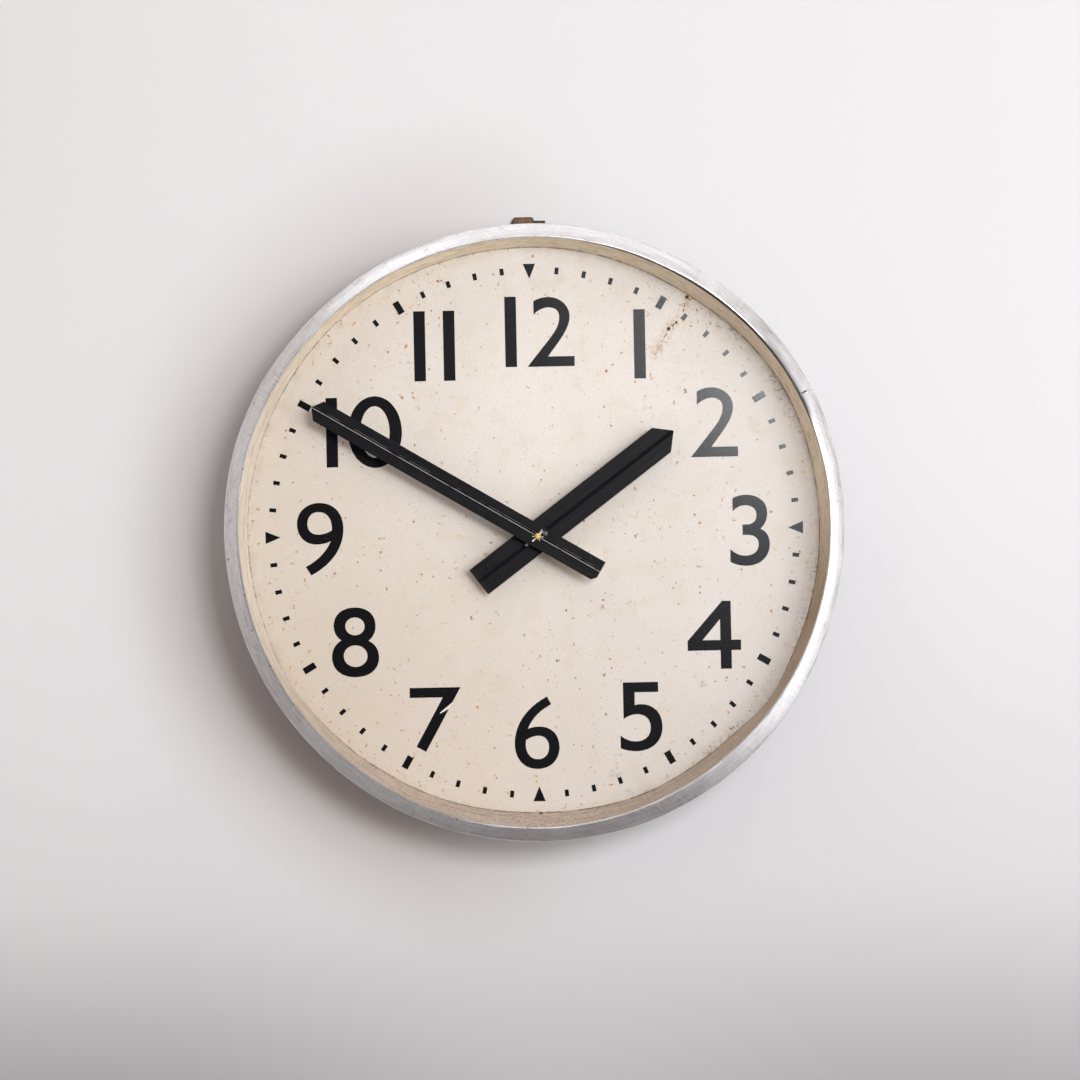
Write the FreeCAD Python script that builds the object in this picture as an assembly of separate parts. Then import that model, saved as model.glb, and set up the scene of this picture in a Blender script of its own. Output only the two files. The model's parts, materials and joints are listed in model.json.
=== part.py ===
import FreeCAD, Part
import math
import os

# Station clock with a 24 inch dial, hung on a wall and driven by half minute impulses.
# Millimetres. X is to the right seen from the front, Z is up and the front faces -Y.
# Depth is counted forward from the wall, so a depth d lies at y = -d.
# Angles on the dial are clockwise from twelve in degrees.

# Case
case_r = 325.0
sheet = 1.5
drum_round = 4.0
case_short = 19.0
cover_r = 91.6
cover_gap = 0.4
cover_screw_inset = 5.0
cover_screw_count = 4
seat_ring_width = 18.0
bush_below = 49.0
bush_bore_r = 6.0
bush_wall = 4.0
bush_length = 12.0
bush_lip = 3.0

# Hanger on top of the case
hanger_width = 38.0
hanger_plate = 2.5
hanger_foot = 40.0
hanger_rise = 21.0
hanger_step = 4.0
hanger_tab = 23.0
hanger_corner = 3.2
hanger_hole_r = 4.2
hanger_hole_rise = 10.0

# Dial
dial_plate = 1.6
dial_inset = 3.0
dial_screw_inset = 6.5
dial_fixings = 6
bracket_lap = 6.0
bracket_deep = 22.0
bracket_fit = 0.12
bracket_sweep = 4.4
bracket_first = 15.0
track_inset = 40.1
paint = 0.2
tick_width = 4.2
tick_length = 7.2
bar_width = 7.0
bar_length = 14.0
arrow_width = 13.1
arrow_length = 15.9
arrow_out = 6.7
numeral_stroke = 12.3

# Bezel and the strip behind its lip
bezel_fit = 0.5
bezel_wall = 2.5
bezel_face = 15.8
bezel_round = 3.0
lip_round = 1.0
lip_depth = 5.0
face_drop = 9.0
skirt_lap = 16.0
joint_at = 63.6
joint_gap = 0.8
joint_clear = 0.6
joint_thick = 2.2
joint_sweep = 9.6
joint_rivet_r = 1.6
joint_rivet_head = 2.6
bezel_screw_count = 6
bezel_screw_first = 33.0
bezel_screw_reach = 8.0
strip_foot_in = 6.4
strip_head_out = 1.2
strip_thick = 2.2
strip_slit = 0.6
strip_clear = 0.4

# Hands, with the place of their axis on the dial
arbor_x = 3.7
arbor_z = -4.3
minute_at = 300.85
minute_short = 4.4
minute_tail = 76.6
minute_width = 23.7
minute_point = 8.7
minute_clip = 5.0
hour_at = 53.2
hour_short = 97.9
hour_tail = 80.0
hour_width = 32.8
hour_point = 16.4
hand_sheet = 1.6
groove_width = 3.7
groove_depth = 1.1
hour_above_dial = 12.0
minute_above_hour = 10.0
lip_above_minute = 18.0
weight_up = 16.0
weight_half = 13.0
weight_thick = 5.0
weight_edge = 1.5
rivet_edge = 4.45
rivet_small = 1.3
rivet_lip = 0.5
rivet_proud = 0.3

# Fixings
screw_r = 2.0
small_r = 1.6
slack = 0.05
screw_head_r = 3.4
screw_head = 2.2
small_head_r = 3.0
small_head = 2.0
screw_past = 5.0
small_past = 6.0
slot_width = 0.8
slot_deep = 0.8
rivet_r = 2.0
rivet_head_r = 3.6
rivet_head = 1.5
rivet_slack = 0.02

# Movement
plate = 2.0
plate_side = 36.0
plate_over = 16.0
plate_drop = 60.0
plate_edge = 8.0
stud_inset = 36.0
stud_r = 4.0
pillar_r = 4.0
arbor_r = 2.0
pin_r = 1.5
running = 0.04
bush_thick = 2.0
gear_module = 0.8
gear_pressure = 25.0
gear_play = 0.12
cannon_teeth = 15
minute_wheel_teeth = 45
minute_pinion_teeth = 12
hour_wheel_teeth = 48
wheel_thick = 2.0
cannon_gap = 0.9
cannon_foot = 1.6
cannon_face = 5.0
cannon_wall = 2.0
pipe_wall = 1.45
motion_clear = 2.9
ratchet_teeth = 120
ratchet_r = 26.0
ratchet_depth = 0.8
ratchet_thick = 1.6
pawl_clear = 0.35
coil_x = 14.0
coil_r = 10.3
coil_clear = 0.7
core_r = 4.0
yoke_high = 6.0
air_gap = 2.4
armature_in = 24.0
armature_under = 7.0
armature_thick = 3.5
leaf = 0.4
terminal_room = 3.0
terminal_thick = 7.5
terminal_half = 20.0
terminal_high = 14.0
terminal_apart = 10.0
lead_r = 0.7
lead_bend = 3.0

# Radii that follow from the case
dial_r = case_r - dial_inset
dial_screw_r = dial_r - dial_screw_inset
track_r = dial_r - track_inset
skirt_in = case_r + bezel_fit
bezel_r = skirt_in + bezel_wall
lip_r = bezel_r - bezel_face
strip_foot_r = lip_r - strip_foot_in
strip_head_r = lip_r + strip_head_out
minute_length = track_r - minute_short
hour_length = track_r - hour_short
hanger_top = case_r + hanger_rise
hanger_hole_z = case_r + hanger_hole_rise
bush_z = -(cover_r + cover_gap + seat_ring_width / 2.0 + bush_below)

# Radii that follow from the arbor
cannon_r = arbor_r + cannon_wall
pipe_in = cannon_r + slack
pipe_r = pipe_in + pipe_wall
swage_r = pipe_r + 1.5
dial_hole_r = pipe_r + 2.0
hour_hub_r = pipe_r + 2.5
gear_apart = gear_module * (cannon_teeth + minute_wheel_teeth) / 2.0
pinion_module = 2.0 * gear_apart / (minute_pinion_teeth + hour_wheel_teeth)

# Depths, from the wall forward through the movement, the dial and the hands
back_plate_at = sheet + terminal_room + terminal_thick
back_plate_front = back_plate_at + plate
front_plate_at = back_plate_front + 2.0 * (coil_r + coil_clear)
front_plate_front = front_plate_at + plate
middle = (back_plate_front + front_plate_at) / 2.0
cannon_low = front_plate_front + cannon_gap
cannon_teeth_low = cannon_low + cannon_foot
cannon_teeth_high = cannon_teeth_low + cannon_face
minute_wheel_low = cannon_teeth_low + wheel_thick / 2.0
minute_wheel_high = minute_wheel_low + wheel_thick
pinion_low = minute_wheel_high + 0.5
hour_wheel_low = pinion_low + 1.5 * wheel_thick
hour_wheel_high = hour_wheel_low + wheel_thick
hub_high = hour_wheel_high + 0.75 * wheel_thick
dial_back = hub_high + motion_clear
dial_front = dial_back + dial_plate
hour_hand_depth = dial_front + hour_above_dial
hour_front = hour_hand_depth + hand_sheet
minute_hand_depth = hour_hand_depth + minute_above_hour
minute_front = minute_hand_depth + hand_sheet
lip_front = minute_hand_depth + lip_above_minute
case_depth = lip_front - case_short

# Places on the movement plates
plate_half = gear_apart + plate_side
plate_top = ratchet_r + plate_over
plate_low = -ratchet_r - plate_drop

V = FreeCAD.Vector
AXIS = V(0, 1, 0)
ORIGIN = V(0, 0, 0)


def rod(x, z, d0, d1, r):
    """Cylinder along the clock's depth."""
    return Part.makeCylinder(r, d1 - d0, V(x, -d0, z), V(0, -1, 0))


def tube(x, z, d0, d1, r_out, r_in):
    """Hollow cylinder along the clock's depth."""
    return rod(x, z, d0, d1, r_out).cut(rod(x, z, d0 - 1, d1 + 1, r_in))


def cone(x, z, d0, d1, r0, r1):
    """Cone along the clock's depth, r0 at d0."""
    return Part.makeCone(r0, r1, d1 - d0, V(x, -d0, z), V(0, -1, 0))


def block(x0, x1, d0, d1, z0, z1):
    """Rectangular block between two depths."""
    return Part.makeBox(x1 - x0, d1 - d0, z1 - z0, V(x0, -d1, z0))


def prism(points, d0, d1):
    """Flat outline in x and z, given thickness between two depths."""
    corners = [V(x, -d0, z) for x, z in points]
    face = Part.Face(Part.makePolygon(corners + corners[:1]))
    return face.extrude(V(0, d0 - d1, 0))


def turned(section, sweep=360.0):
    """Outline in radius and depth, turned about the middle of the dial and centred on twelve."""
    corners = [V(0, -d, r) for r, d in section]
    face = Part.Face(Part.makePolygon(corners + corners[:1]))
    body = face.revolve(ORIGIN, AXIS, sweep)
    body.rotate(ORIGIN, AXIS, -sweep / 2.0)
    return body


def ring_edges(body, radius, depth):
    """Circular edges of a turned body at one radius and depth."""
    found = []
    for e in body.Edges:
        box = e.BoundBox
        flat = box.YLength < 0.01 and abs(box.YMin + depth) < 0.01
        if flat and abs(box.XLength / 2.0 - radius) < 0.01:
            found.append(e)
    return found


def at_angle(body, angle):
    """Copy of a body turned clockwise round the dial."""
    copy = body.copy()
    copy.rotate(ORIGIN, AXIS, angle)
    return copy


def around(body, count, first):
    """Evenly spaced copies round the dial."""
    return [at_angle(body, first + 360.0 * k / count) for k in range(count)]


def spoke(r0, r1, d, r):
    """Cylinder along a radius at twelve."""
    return Part.makeCylinder(r, r1 - r0, V(0, -d, r0), V(0, 0, 1))


def through(places, d0, d1, r):
    """Drills that pass right through a plate between two depths."""
    return [rod(x, z, d0 - 1, d1 + 1, r) for x, z in places]


def cut_all(body, tools):
    """Body with a list of tools taken away."""
    return body.cut(Part.makeCompound(tools))


def joined(first, *rest):
    """One solid from several that touch."""
    return first.fuse(list(rest)).removeSplitter()


def keep(name, body):
    """Write one node, moved to the axis that it was drawn about."""
    if isinstance(body, list):
        body = Part.makeCompound(body)
    copy = body.copy()
    copy.translate(drawn_about)
    copy.exportStep("parts/" + name + ".step")


os.makedirs("parts", exist_ok=True)
drawn_about = ORIGIN

# Case drum, access cover in its back and cable bush
cover_hole_r = cover_r + cover_gap
drum = turned([(cover_hole_r, 0), (case_r, 0), (case_r, case_depth),
               (case_r - sheet, case_depth), (case_r - sheet, sheet), (cover_hole_r, sheet)])
drum = drum.makeFillet(drum_round, ring_edges(drum, case_r, 0))
drum = drum.makeFillet(drum_round - sheet, ring_edges(drum, case_r - sheet, sheet))
bezel_screw_d = case_depth - skirt_lap / 2.0
bush_r = bush_bore_r + bush_wall
rivet_d = hanger_foot / 2.0
rivet_turn = math.degrees(hanger_width * 0.28 / case_r)
rivet_turns = [-rivet_turn, rivet_turn]
wall_drill = 3.0 * sheet
bezel_drill = spoke(case_r - wall_drill, bezel_r + wall_drill, bezel_screw_d, screw_r)
drum_holes = around(bezel_drill, bezel_screw_count, bezel_screw_first)
drum_holes += [at_angle(spoke(case_r - wall_drill, case_r + wall_drill, rivet_d, rivet_r), a)
               for a in rivet_turns]
drum_holes.append(rod(0, bush_z, -1, sheet + 1, bush_r))
keep("case_drum", cut_all(drum, drum_holes))

cover_screw_at = cover_r - cover_screw_inset
cover_sink_r = screw_r + 0.1
cover_head_r = cover_sink_r + 1.2 * sheet
seat_half = seat_ring_width / 2.0
seat = tube(0, 0, sheet, 2 * sheet, cover_hole_r + seat_half, cover_hole_r - seat_half)
seat_holes = around(rod(0, cover_screw_at, 0, 3 * sheet, screw_r), cover_screw_count, 45.0)
keep("cover_seat_ring", cut_all(seat, seat_holes))
cover_sink = cone(0, cover_screw_at, 0, sheet, cover_head_r, cover_sink_r)
keep("rear_cover", cut_all(rod(0, 0, 0, sheet, cover_r), around(cover_sink, cover_screw_count, 45.0)))
cover_screw = joined(cover_sink, rod(0, cover_screw_at, sheet, 4 * sheet, screw_r - slack))
cover_slot = block(-cover_head_r, cover_head_r, -1, slot_deep,
                   cover_screw_at - slot_width / 2.0, cover_screw_at + slot_width / 2.0)
keep("rear_cover_screws", around(cover_screw.cut(cover_slot), cover_screw_count, 45.0))

bush = joined(rod(0, bush_z, 0, bush_length, bush_r),
              rod(0, bush_z, sheet, sheet + 2.0, bush_r + bush_lip))
keep("cable_bush", bush.cut(rod(0, bush_z, -1, bush_length + 1, bush_bore_r)))

# Hanger: a foot curved to the drum and an upright plate in the wall plane
foot_sweep = math.degrees(hanger_width / case_r)
foot_r = case_r + hanger_plate
foot = turned([(case_r, 0), (foot_r, 0), (foot_r, hanger_foot), (case_r, hanger_foot)], foot_sweep)
half = hanger_width / 2.0 - 0.5
tab_left = 1.5 - half
tab_right = tab_left + hanger_tab
shoulder = hanger_top - hanger_step
upright = block(-half, half, 0, hanger_plate, case_r - 8, shoulder)
tab = block(tab_left, tab_right, 0, hanger_plate, case_r, hanger_top)
tab_corners = [e for e in tab.Edges
               if e.BoundBox.YLength > hanger_plate / 2.0 and e.BoundBox.ZMin > hanger_top - 0.1]
tab = tab.makeFillet(hanger_corner, tab_corners)
upright = upright.fuse(tab).removeSplitter().cut(rod(0, 0, -1, hanger_plate + 1, case_r))
hanger_holes = [at_angle(spoke(case_r - wall_drill, foot_r + wall_drill, rivet_d, rivet_r), a)
                for a in rivet_turns]
hanger_holes.append(rod(0, hanger_hole_z, -1, hanger_plate + 1, hanger_hole_r))
keep("hanger_plate", cut_all(joined(foot, upright), hanger_holes))
inside = case_r - sheet - 0.03
rivet = joined(spoke(inside, foot_r + 0.01, rivet_d, rivet_r - rivet_slack),
               spoke(inside - rivet_head, inside, rivet_d, rivet_head_r),
               spoke(foot_r, foot_r + rivet_head, rivet_d, rivet_head_r))
keep("hanger_rivets", [at_angle(rivet, a) for a in rivet_turns])

# Dial plate on brackets inside the drum
bracket_in = dial_screw_r - bracket_lap
wall_in = case_r - sheet - bracket_fit
bracket = turned([(bracket_in, dial_back), (wall_in, dial_back), (wall_in, dial_back - bracket_deep),
                  (wall_in - sheet, dial_back - bracket_deep), (wall_in - sheet, dial_back - sheet),
                  (bracket_in, dial_back - sheet)], bracket_sweep)
bracket = bracket.cut(rod(0, dial_screw_r, dial_back - wall_drill, dial_back + 1, screw_r))
keep("dial_brackets", around(bracket, dial_fixings, bracket_first))

dial = rod(0, 0, dial_back, dial_front, dial_r)
dial_holes = [rod(arbor_x, arbor_z, dial_back - 1, dial_front + 1, dial_hole_r)]
dial_drill = rod(0, dial_screw_r, dial_back - 1, dial_front + 1, screw_r + 0.2)
dial_holes += around(dial_drill, dial_fixings, bracket_first)
keep("dial_plate", cut_all(dial, dial_holes))
dial_screw = joined(rod(0, dial_screw_r, dial_back - screw_past, dial_front, screw_r - slack),
                    rod(0, dial_screw_r, dial_front, dial_front + screw_head, screw_head_r))
dial_slot = block(-screw_head_r, screw_head_r,
                  dial_front + screw_head - slot_deep, dial_front + screw_head + 1,
                  dial_screw_r - slot_width / 2.0, dial_screw_r + slot_width / 2.0)
keep("dial_screws", around(dial_screw.cut(dial_slot), dial_fixings, bracket_first))

# Minute track: plain ticks, bars at the hours and arrowheads at the quarters
marks = []
for minute in range(60):
    if minute % 15 == 0:
        base = track_r + arrow_out
        mark = prism([(-arrow_width / 2, base), (arrow_width / 2, base), (0, base - arrow_length)],
                     dial_front, dial_front + paint)
    elif minute % 5 == 0:
        mark = block(-bar_width / 2, bar_width / 2, dial_front, dial_front + paint,
                     track_r - bar_length / 2, track_r + bar_length / 2)
    else:
        mark = block(-tick_width / 2, tick_width / 2, dial_front, dial_front + paint,
                     track_r - tick_length / 2, track_r + tick_length / 2)
    marks.append(at_angle(mark, 6.0 * minute))
keep("minute_track", marks)

# Numerals: each outline runs from a start point through lines and curves.
# A step of one point is a line, a step of three points is a curve with two guides.
numeral_scale = track_r / 281.9


def outline(place, start, steps, deep=0.0):
    """Closed outline made into a thin solid on the dial."""
    def spot(p):
        return V((place[0] + p[0]) * numeral_scale, -dial_front + deep, (place[1] + p[1]) * numeral_scale)
    edges = []
    here = start
    for step in steps + [(start,)]:
        if len(step) == 1:
            if math.dist(here, step[0]) > 0.01:
                edges.append(Part.makeLine(spot(here), spot(step[0])))
        else:
            curve = Part.BezierCurve()
            curve.setPoles([spot(here)] + [spot(p) for p in step])
            edges.append(curve.toShape())
        here = step[-1]
    face = Part.Face(Part.Wire(edges))
    return face.extrude(V(0, -paint - 2 * deep, 0))


def oval(place, cx, cz, rx, rz, deep=0.0):
    """Rounded closed outline about a centre."""
    k = 0.56
    steps = [((cx + rx, cz + k * rz), (cx + k * rx, cz + rz), (cx, cz + rz)),
             ((cx - k * rx, cz + rz), (cx - rx, cz + k * rz), (cx - rx, cz)),
             ((cx - rx, cz - k * rz), (cx - k * rx, cz - rz), (cx, cz - rz)),
             ((cx + k * rx, cz - rz), (cx + rx, cz - k * rz), (cx + rx, cz))]
    return outline(place, (cx + rx, cz), steps, deep)


def one(place, height):
    """Plain upright stroke."""
    return outline(place, (0, 0), [((numeral_stroke, 0),), ((numeral_stroke, height),), ((0, height),)])


def two(place):
    """Bowl running into a straight diagonal and a flat foot."""
    return outline(place, (0, 0), [
        ((50.5, 0),), ((50.5, 10.7),), ((22, 10.7),),
        ((37, 30.2), (46, 41.5), (46, 53.6)),
        ((46, 65.5), (35.5, 74.6), (23, 74.6)),
        ((17, 74.6), (11.5, 72.8), (7.4, 70.4)),
        ((7.4, 56.2),),
        ((12.5, 61), (18, 63.5), (23.2, 63.5)),
        ((30.8, 63.5), (35, 59.6), (35, 53.2)),
        ((35, 43.5), (29.3, 36), (22, 27.2))])


def three(place):
    """Small bowl over a larger one."""
    return outline(place, (0, 4.3), [
        ((5, 1.5), (11, 0), (17.6, 0)),
        ((33, 0), (42.4, 10), (42.4, 23.6)),
        ((42.4, 31.5), (38.6, 37), (32.6, 39.6)),
        ((37.6, 43.4), (40.3, 49.6), (40.3, 56.6)),
        ((40.3, 68.6), (30.8, 76.2), (17.2, 76.2)),
        ((12, 76.2), (7, 74.9), (3.3, 72.6)),
        ((3.3, 59),),
        ((7.4, 62.8), (11.6, 65), (16.2, 65)),
        ((24, 65), (28.7, 61), (28.7, 54.6)),
        ((28.7, 48), (24.8, 44.3), (18.6, 44.3)),
        ((13.6, 44.3),), ((13.6, 33.1),), ((18.4, 33.1),),
        ((26, 33.1), (30.6, 29.6), (30.6, 23.3)),
        ((30.6, 15.4), (25, 10.8), (16.2, 10.8)),
        ((10, 10.8), (4.4, 13.6), (0, 18.2))])


def four(place):
    """Upright and cross bar with a straight diagonal."""
    body = outline(place, (0, 20), [
        ((35.3, 20),), ((35.3, 0),), ((47, 0),), ((47, 20),), ((57.3, 20),), ((57.3, 31),),
        ((47, 31),), ((47, 72.9),), ((37.7, 72.9),), ((0, 30.4),)])
    return body.cut(outline(place, (15.9, 31), [((35.3, 31),), ((35.3, 53.7),)], 1.0))


def five(place):
    """Flag, short upright and open bowl."""
    return outline(place, (0, 3.4), [
        ((5, 1.3), (10.6, 0), (16.8, 0)),
        ((34, 0), (45.2, 10.6), (45.2, 26)),
        ((45.2, 40.6), (36, 50.3), (22.6, 50.3)),
        ((20.2, 50.3), (18, 50.1), (15.9, 49.5)),
        ((15.9, 63.3),), ((41.3, 63.3),), ((41.3, 74),), ((3.6, 74),), ((3.6, 34.8),),
        ((8, 38), (12.8, 39.7), (17.9, 39.7)),
        ((27, 39.7), (32.6, 34.2), (32.6, 25.6)),
        ((32.6, 16.2), (26.4, 10.5), (16.6, 10.5)),
        ((10.6, 10.5), (5, 12.8), (0, 17))])


def six(place):
    """Closed bowl under a long open curve."""
    body = outline(place, (35.4, 77.5), [
        ((14.4, 66.6), (0, 49), (0, 27)),
        ((0, 10.6), (9.6, 0), (24.4, 0)),
        ((38.4, 0), (47.9, 9.6), (47.9, 23.4)),
        ((47.9, 36.6), (39.4, 45.4), (26.8, 45.4)),
        ((22.4, 45.4), (18, 44.7), (14.2, 43.2)),
        ((18.4, 54), (28, 63.4), (39.9, 69.1))])
    hole = outline(place, (11.7, 26.6), [
        ((11.7, 16.6), (16.8, 10.4), (24.8, 10.4)),
        ((32, 10.4), (36.7, 15.6), (36.7, 23.3)),
        ((36.7, 30.8), (32.2, 35.6), (25.4, 35.6)),
        ((20.6, 35.6), (16, 34), (11.9, 31))], 1.0)
    return body.cut(hole)


def seven(place):
    """Flat bar and a straight diagonal."""
    return outline(place, (16.3, 0), [
        ((54.6, 68.8),), ((0, 68.8),), ((0, 58.2),), ((35.5, 58.2),), ((6.3, 5.7),)])


def eight(place):
    """Small closed bowl over a larger one."""
    body = outline(place, (25.2, 0), [
        ((40.4, 0), (50.4, 8.4), (50.4, 20.8)),
        ((50.4, 29.4), (46.6, 35.2), (39.4, 38.8)),
        ((44.6, 42.6), (47.3, 48.4), (47.3, 55.2)),
        ((47.3, 67.2), (38.6, 74.8), (24.9, 74.8)),
        ((11.4, 74.8), (2.4, 67), (2.4, 55.2)),
        ((2.4, 48.6), (5.2, 43.4), (10.4, 39.8)),
        ((3.6, 35.6), (0, 29.8), (0, 21.4)),
        ((0, 8.6), (9.8, 0), (25.2, 0))])
    body = body.cut(oval(place, 25.2, 54.6, 10.4, 9.6, 1.0))
    return body.cut(oval(place, 25.3, 22.6, 12.8, 11.6, 1.0))


def nine(place):
    """Closed bowl over a long open curve."""
    body = outline(place, (14.4, 0), [
        ((35.6, 10.8), (49.7, 28.4), (49.7, 50)),
        ((49.7, 66.6), (39.4, 77.6), (24.2, 77.6)),
        ((10, 77.6), (0, 68.2), (0, 54.8)),
        ((0, 41.8), (8.6, 33.1), (21, 33.1)),
        ((26.4, 33.1), (31.2, 34.1), (35.9, 36.4)),
        ((31, 24.8), (20.6, 14.8), (8.5, 9.3))])
    hole = outline(place, (11.1, 54.9), [
        ((11.1, 48), (15.6, 43.6), (22.5, 43.6)),
        ((28, 43.6), (33, 45.2), (37.4, 48)),
        ((38, 60.4), (32.6, 67.9), (23, 67.9)),
        ((15.8, 67.9), (11.1, 62.8), (11.1, 54.9))], 1.0)
    return body.cut(hole)


def nought(place):
    """Upright oval."""
    return oval(place, 28.9, 38.4, 28.9, 38.4).cut(oval(place, 28.9, 38.4, 15.8, 27.7, 1.0))


numerals = [one((-27.2, 178.2), 75.4), two((-3.5, 178.0)), one((111.0, 163.2), 74.3), two((170.0, 77.5)),
            three((210.2, -40.2)), four((162.3, -150.4)), five((88.3, -237.0)), six((-25.4, -253.9)),
            seven((-137.2, -233.2)), eight((-219.8, -151.5)), nine((-254.6, -41.3)),
            one((-221.4, 74.2), 74.6), nought((-197.8, 72.9)),
            one((-125.3, 164.8), 75.2), one((-93.6, 164.8), 75.2)]
keep("dial_numerals", numerals)

# Rim strip: a fibre strip bent into a leaning ring between the dial and the bezel lip
strip_head = lip_front - lip_depth - strip_clear
strip = turned([(strip_foot_r, dial_front), (strip_foot_r + strip_thick, dial_front),
                (strip_head_r + strip_thick, strip_head), (strip_head_r, strip_head)])
slit = block(-strip_slit / 2, strip_slit / 2, dial_front - 1, strip_head + 1,
             -bezel_r, strip_thick - strip_foot_r + strip_foot_in)
keep("rim_strip", strip.cut(slit))

# Bezel: rolled aluminium section with one butt joint and a joint plate behind it
slope = face_drop / bezel_face
face_d = bezel_wall * math.sqrt(1 + slope * slope)
shoulder_d = lip_front - face_drop
skirt_rear = case_depth - skirt_lap
inner_lip_d = lip_front - slope * bezel_wall - face_d
inner_skirt_d = shoulder_d + slope * bezel_wall - face_d
bezel = turned([(skirt_in, skirt_rear), (bezel_r, skirt_rear), (bezel_r, shoulder_d), (lip_r, lip_front),
                (lip_r, lip_front - lip_depth), (lip_r + bezel_wall, lip_front - lip_depth),
                (lip_r + bezel_wall, inner_lip_d), (skirt_in, inner_skirt_d)])
bezel = bezel.makeFillet(bezel_round, ring_edges(bezel, bezel_r, shoulder_d))
bezel = bezel.makeFillet(lip_round, ring_edges(bezel, lip_r, lip_front))
joint = block(-joint_gap / 2, joint_gap / 2, skirt_rear - 1, lip_front + 1,
              lip_r - bezel_face, bezel_r + bezel_face)
joint_low = case_depth + joint_clear
joint_high = inner_skirt_d - 0.1
joint_d = (joint_low + joint_high) / 2.0
joint_rivets = [-3.6, -1.6, 1.6, 3.6]
joint_in = skirt_in - joint_thick
joint_drill = spoke(joint_in - 1, bezel_r + 1, joint_d, joint_rivet_r)
bezel_drill = spoke(skirt_in - 1, bezel_r + 1, bezel_screw_d, screw_r + 0.2)
bezel_cuts = [at_angle(joint, joint_at)]
bezel_cuts += around(bezel_drill, bezel_screw_count, bezel_screw_first)
bezel_cuts += [at_angle(joint_drill, joint_at + a) for a in joint_rivets]
keep("bezel_ring", cut_all(bezel, bezel_cuts))

splice = turned([(joint_in, joint_low), (skirt_in, joint_low), (skirt_in, joint_high),
                 (joint_in, joint_high)], joint_sweep)
splice = cut_all(splice, [at_angle(joint_drill, a) for a in joint_rivets])
keep("joint_plate", at_angle(splice, joint_at))
rivet_in = joint_in - rivet_slack
joint_rivet = joined(spoke(rivet_in, bezel_r - slack, joint_d, joint_rivet_r - rivet_slack),
                     spoke(rivet_in - 0.8 * rivet_head, rivet_in, joint_d, joint_rivet_head))
keep("joint_rivets", [at_angle(joint_rivet, joint_at + a) for a in joint_rivets])
bezel_head = 0.8 * screw_head
bezel_screw = joined(spoke(case_r - bezel_screw_reach, bezel_r + 0.01, bezel_screw_d, screw_r - slack),
                     spoke(bezel_r, bezel_r + bezel_head, bezel_screw_d, screw_head_r))
bezel_slot = block(-slot_width / 2, slot_width / 2,
                   bezel_screw_d - screw_head_r, bezel_screw_d + screw_head_r,
                   bezel_r + bezel_head - slot_deep, bezel_r + bezel_head + 1)
keep("bezel_screws", around(bezel_screw.cut(bezel_slot), bezel_screw_count, bezel_screw_first))

# The movement and hands are drawn about the hand axis, which is a little off the middle of the dial
drawn_about = V(arbor_x, 0, arbor_z)

# Movement plates, pillars and the studs that carry the movement on the dial
pillar_x = plate_half - plate_edge
pillar_heights = (plate_top - plate_edge, plate_low + plate_edge)
stud_heights = (plate_top - stud_inset, plate_low + stud_inset)
pillar_places = [(side * pillar_x, z) for side in (-1, 1) for z in pillar_heights]
stud_places = [(side * pillar_x, z) for side in (-1, 1) for z in stud_heights]
click_x = -0.77 * ratchet_r
click_z = ratchet_r + 5.0
armature_x = plate_half - armature_in
armature_low = -ratchet_r - armature_under
armature_z = armature_low + armature_thick / 2.0
core_top = armature_low - air_gap
yoke_low = plate_low + plate_edge
yoke_top = yoke_low + yoke_high
yoke_mid = (yoke_low + yoke_top) / 2.0
bobbin_low = yoke_top
bobbin_high = core_top - 1.5 * air_gap
lead_z = (bobbin_low + bobbin_high) / 2.0
bush_out = arbor_r + bush_thick
spring_x0 = plate_half - 10.0
spring_x1 = spring_x0 + 8.0
spring_mid = (spring_x0 + spring_x1) / 2.0
block_screw_z = armature_low - 4.0
terminal_z1 = armature_low + 13.0
terminal_z0 = terminal_z1 - terminal_high
terminal_mid = (terminal_z0 + terminal_z1) / 2.0
yoke_screw_places = [(-coil_x / 2, yoke_mid), (coil_x / 2, yoke_mid)]
coils = (-coil_x, coil_x)

front = (front_plate_at, front_plate_front)
front_plate = block(-plate_half, plate_half, front_plate_at, front_plate_front, plate_low, plate_top)
front_holes = through([(0, 0)], *front, bush_out)
front_holes += through(pillar_places, *front, small_r)
front_holes += through(stud_places, *front, screw_r)
front_holes += through([(gear_apart, 0)], *front, arbor_r)
front_holes += through([(armature_x, armature_z)], *front, pin_r)
keep("front_plate", cut_all(front_plate, front_holes))

back = (back_plate_at, back_plate_front)
back_plate = block(-plate_half, plate_half, back_plate_at, back_plate_front, plate_low, plate_top)
back_holes = through([(0, 0)], *back, bush_out)
back_holes += through(pillar_places + yoke_screw_places, *back, small_r)
back_holes += through([(spring_mid, block_screw_z), (0, terminal_mid)], *back, small_r)
back_holes += through([(x, lead_z) for x in coils], *back, screw_r)
back_holes += through([(armature_x, armature_z), (click_x, click_z)], *back, pin_r)
keep("back_plate", cut_all(back_plate, back_holes))


def plate_screw(x, z, face, way, past):
    """Small screw with its head on the outside of a plate, pointing into the movement."""
    ends = sorted((face - way * small_head, face))
    shank = sorted((face, face + way * past))
    return joined(rod(x, z, ends[0], ends[1], small_head_r), rod(x, z, shank[0], shank[1], small_r - slack))


pillars = []
pillar_screws = []
for x, z in pillar_places:
    pillars.append(tube(x, z, back_plate_front, front_plate_at, pillar_r, small_r))
    pillar_screws.append(plate_screw(x, z, back_plate_at, 1, plate + small_past))
    pillar_screws.append(plate_screw(x, z, front_plate_front, -1, plate + small_past))
keep("plate_pillars", pillars)
keep("pillar_screws", pillar_screws)

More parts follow.
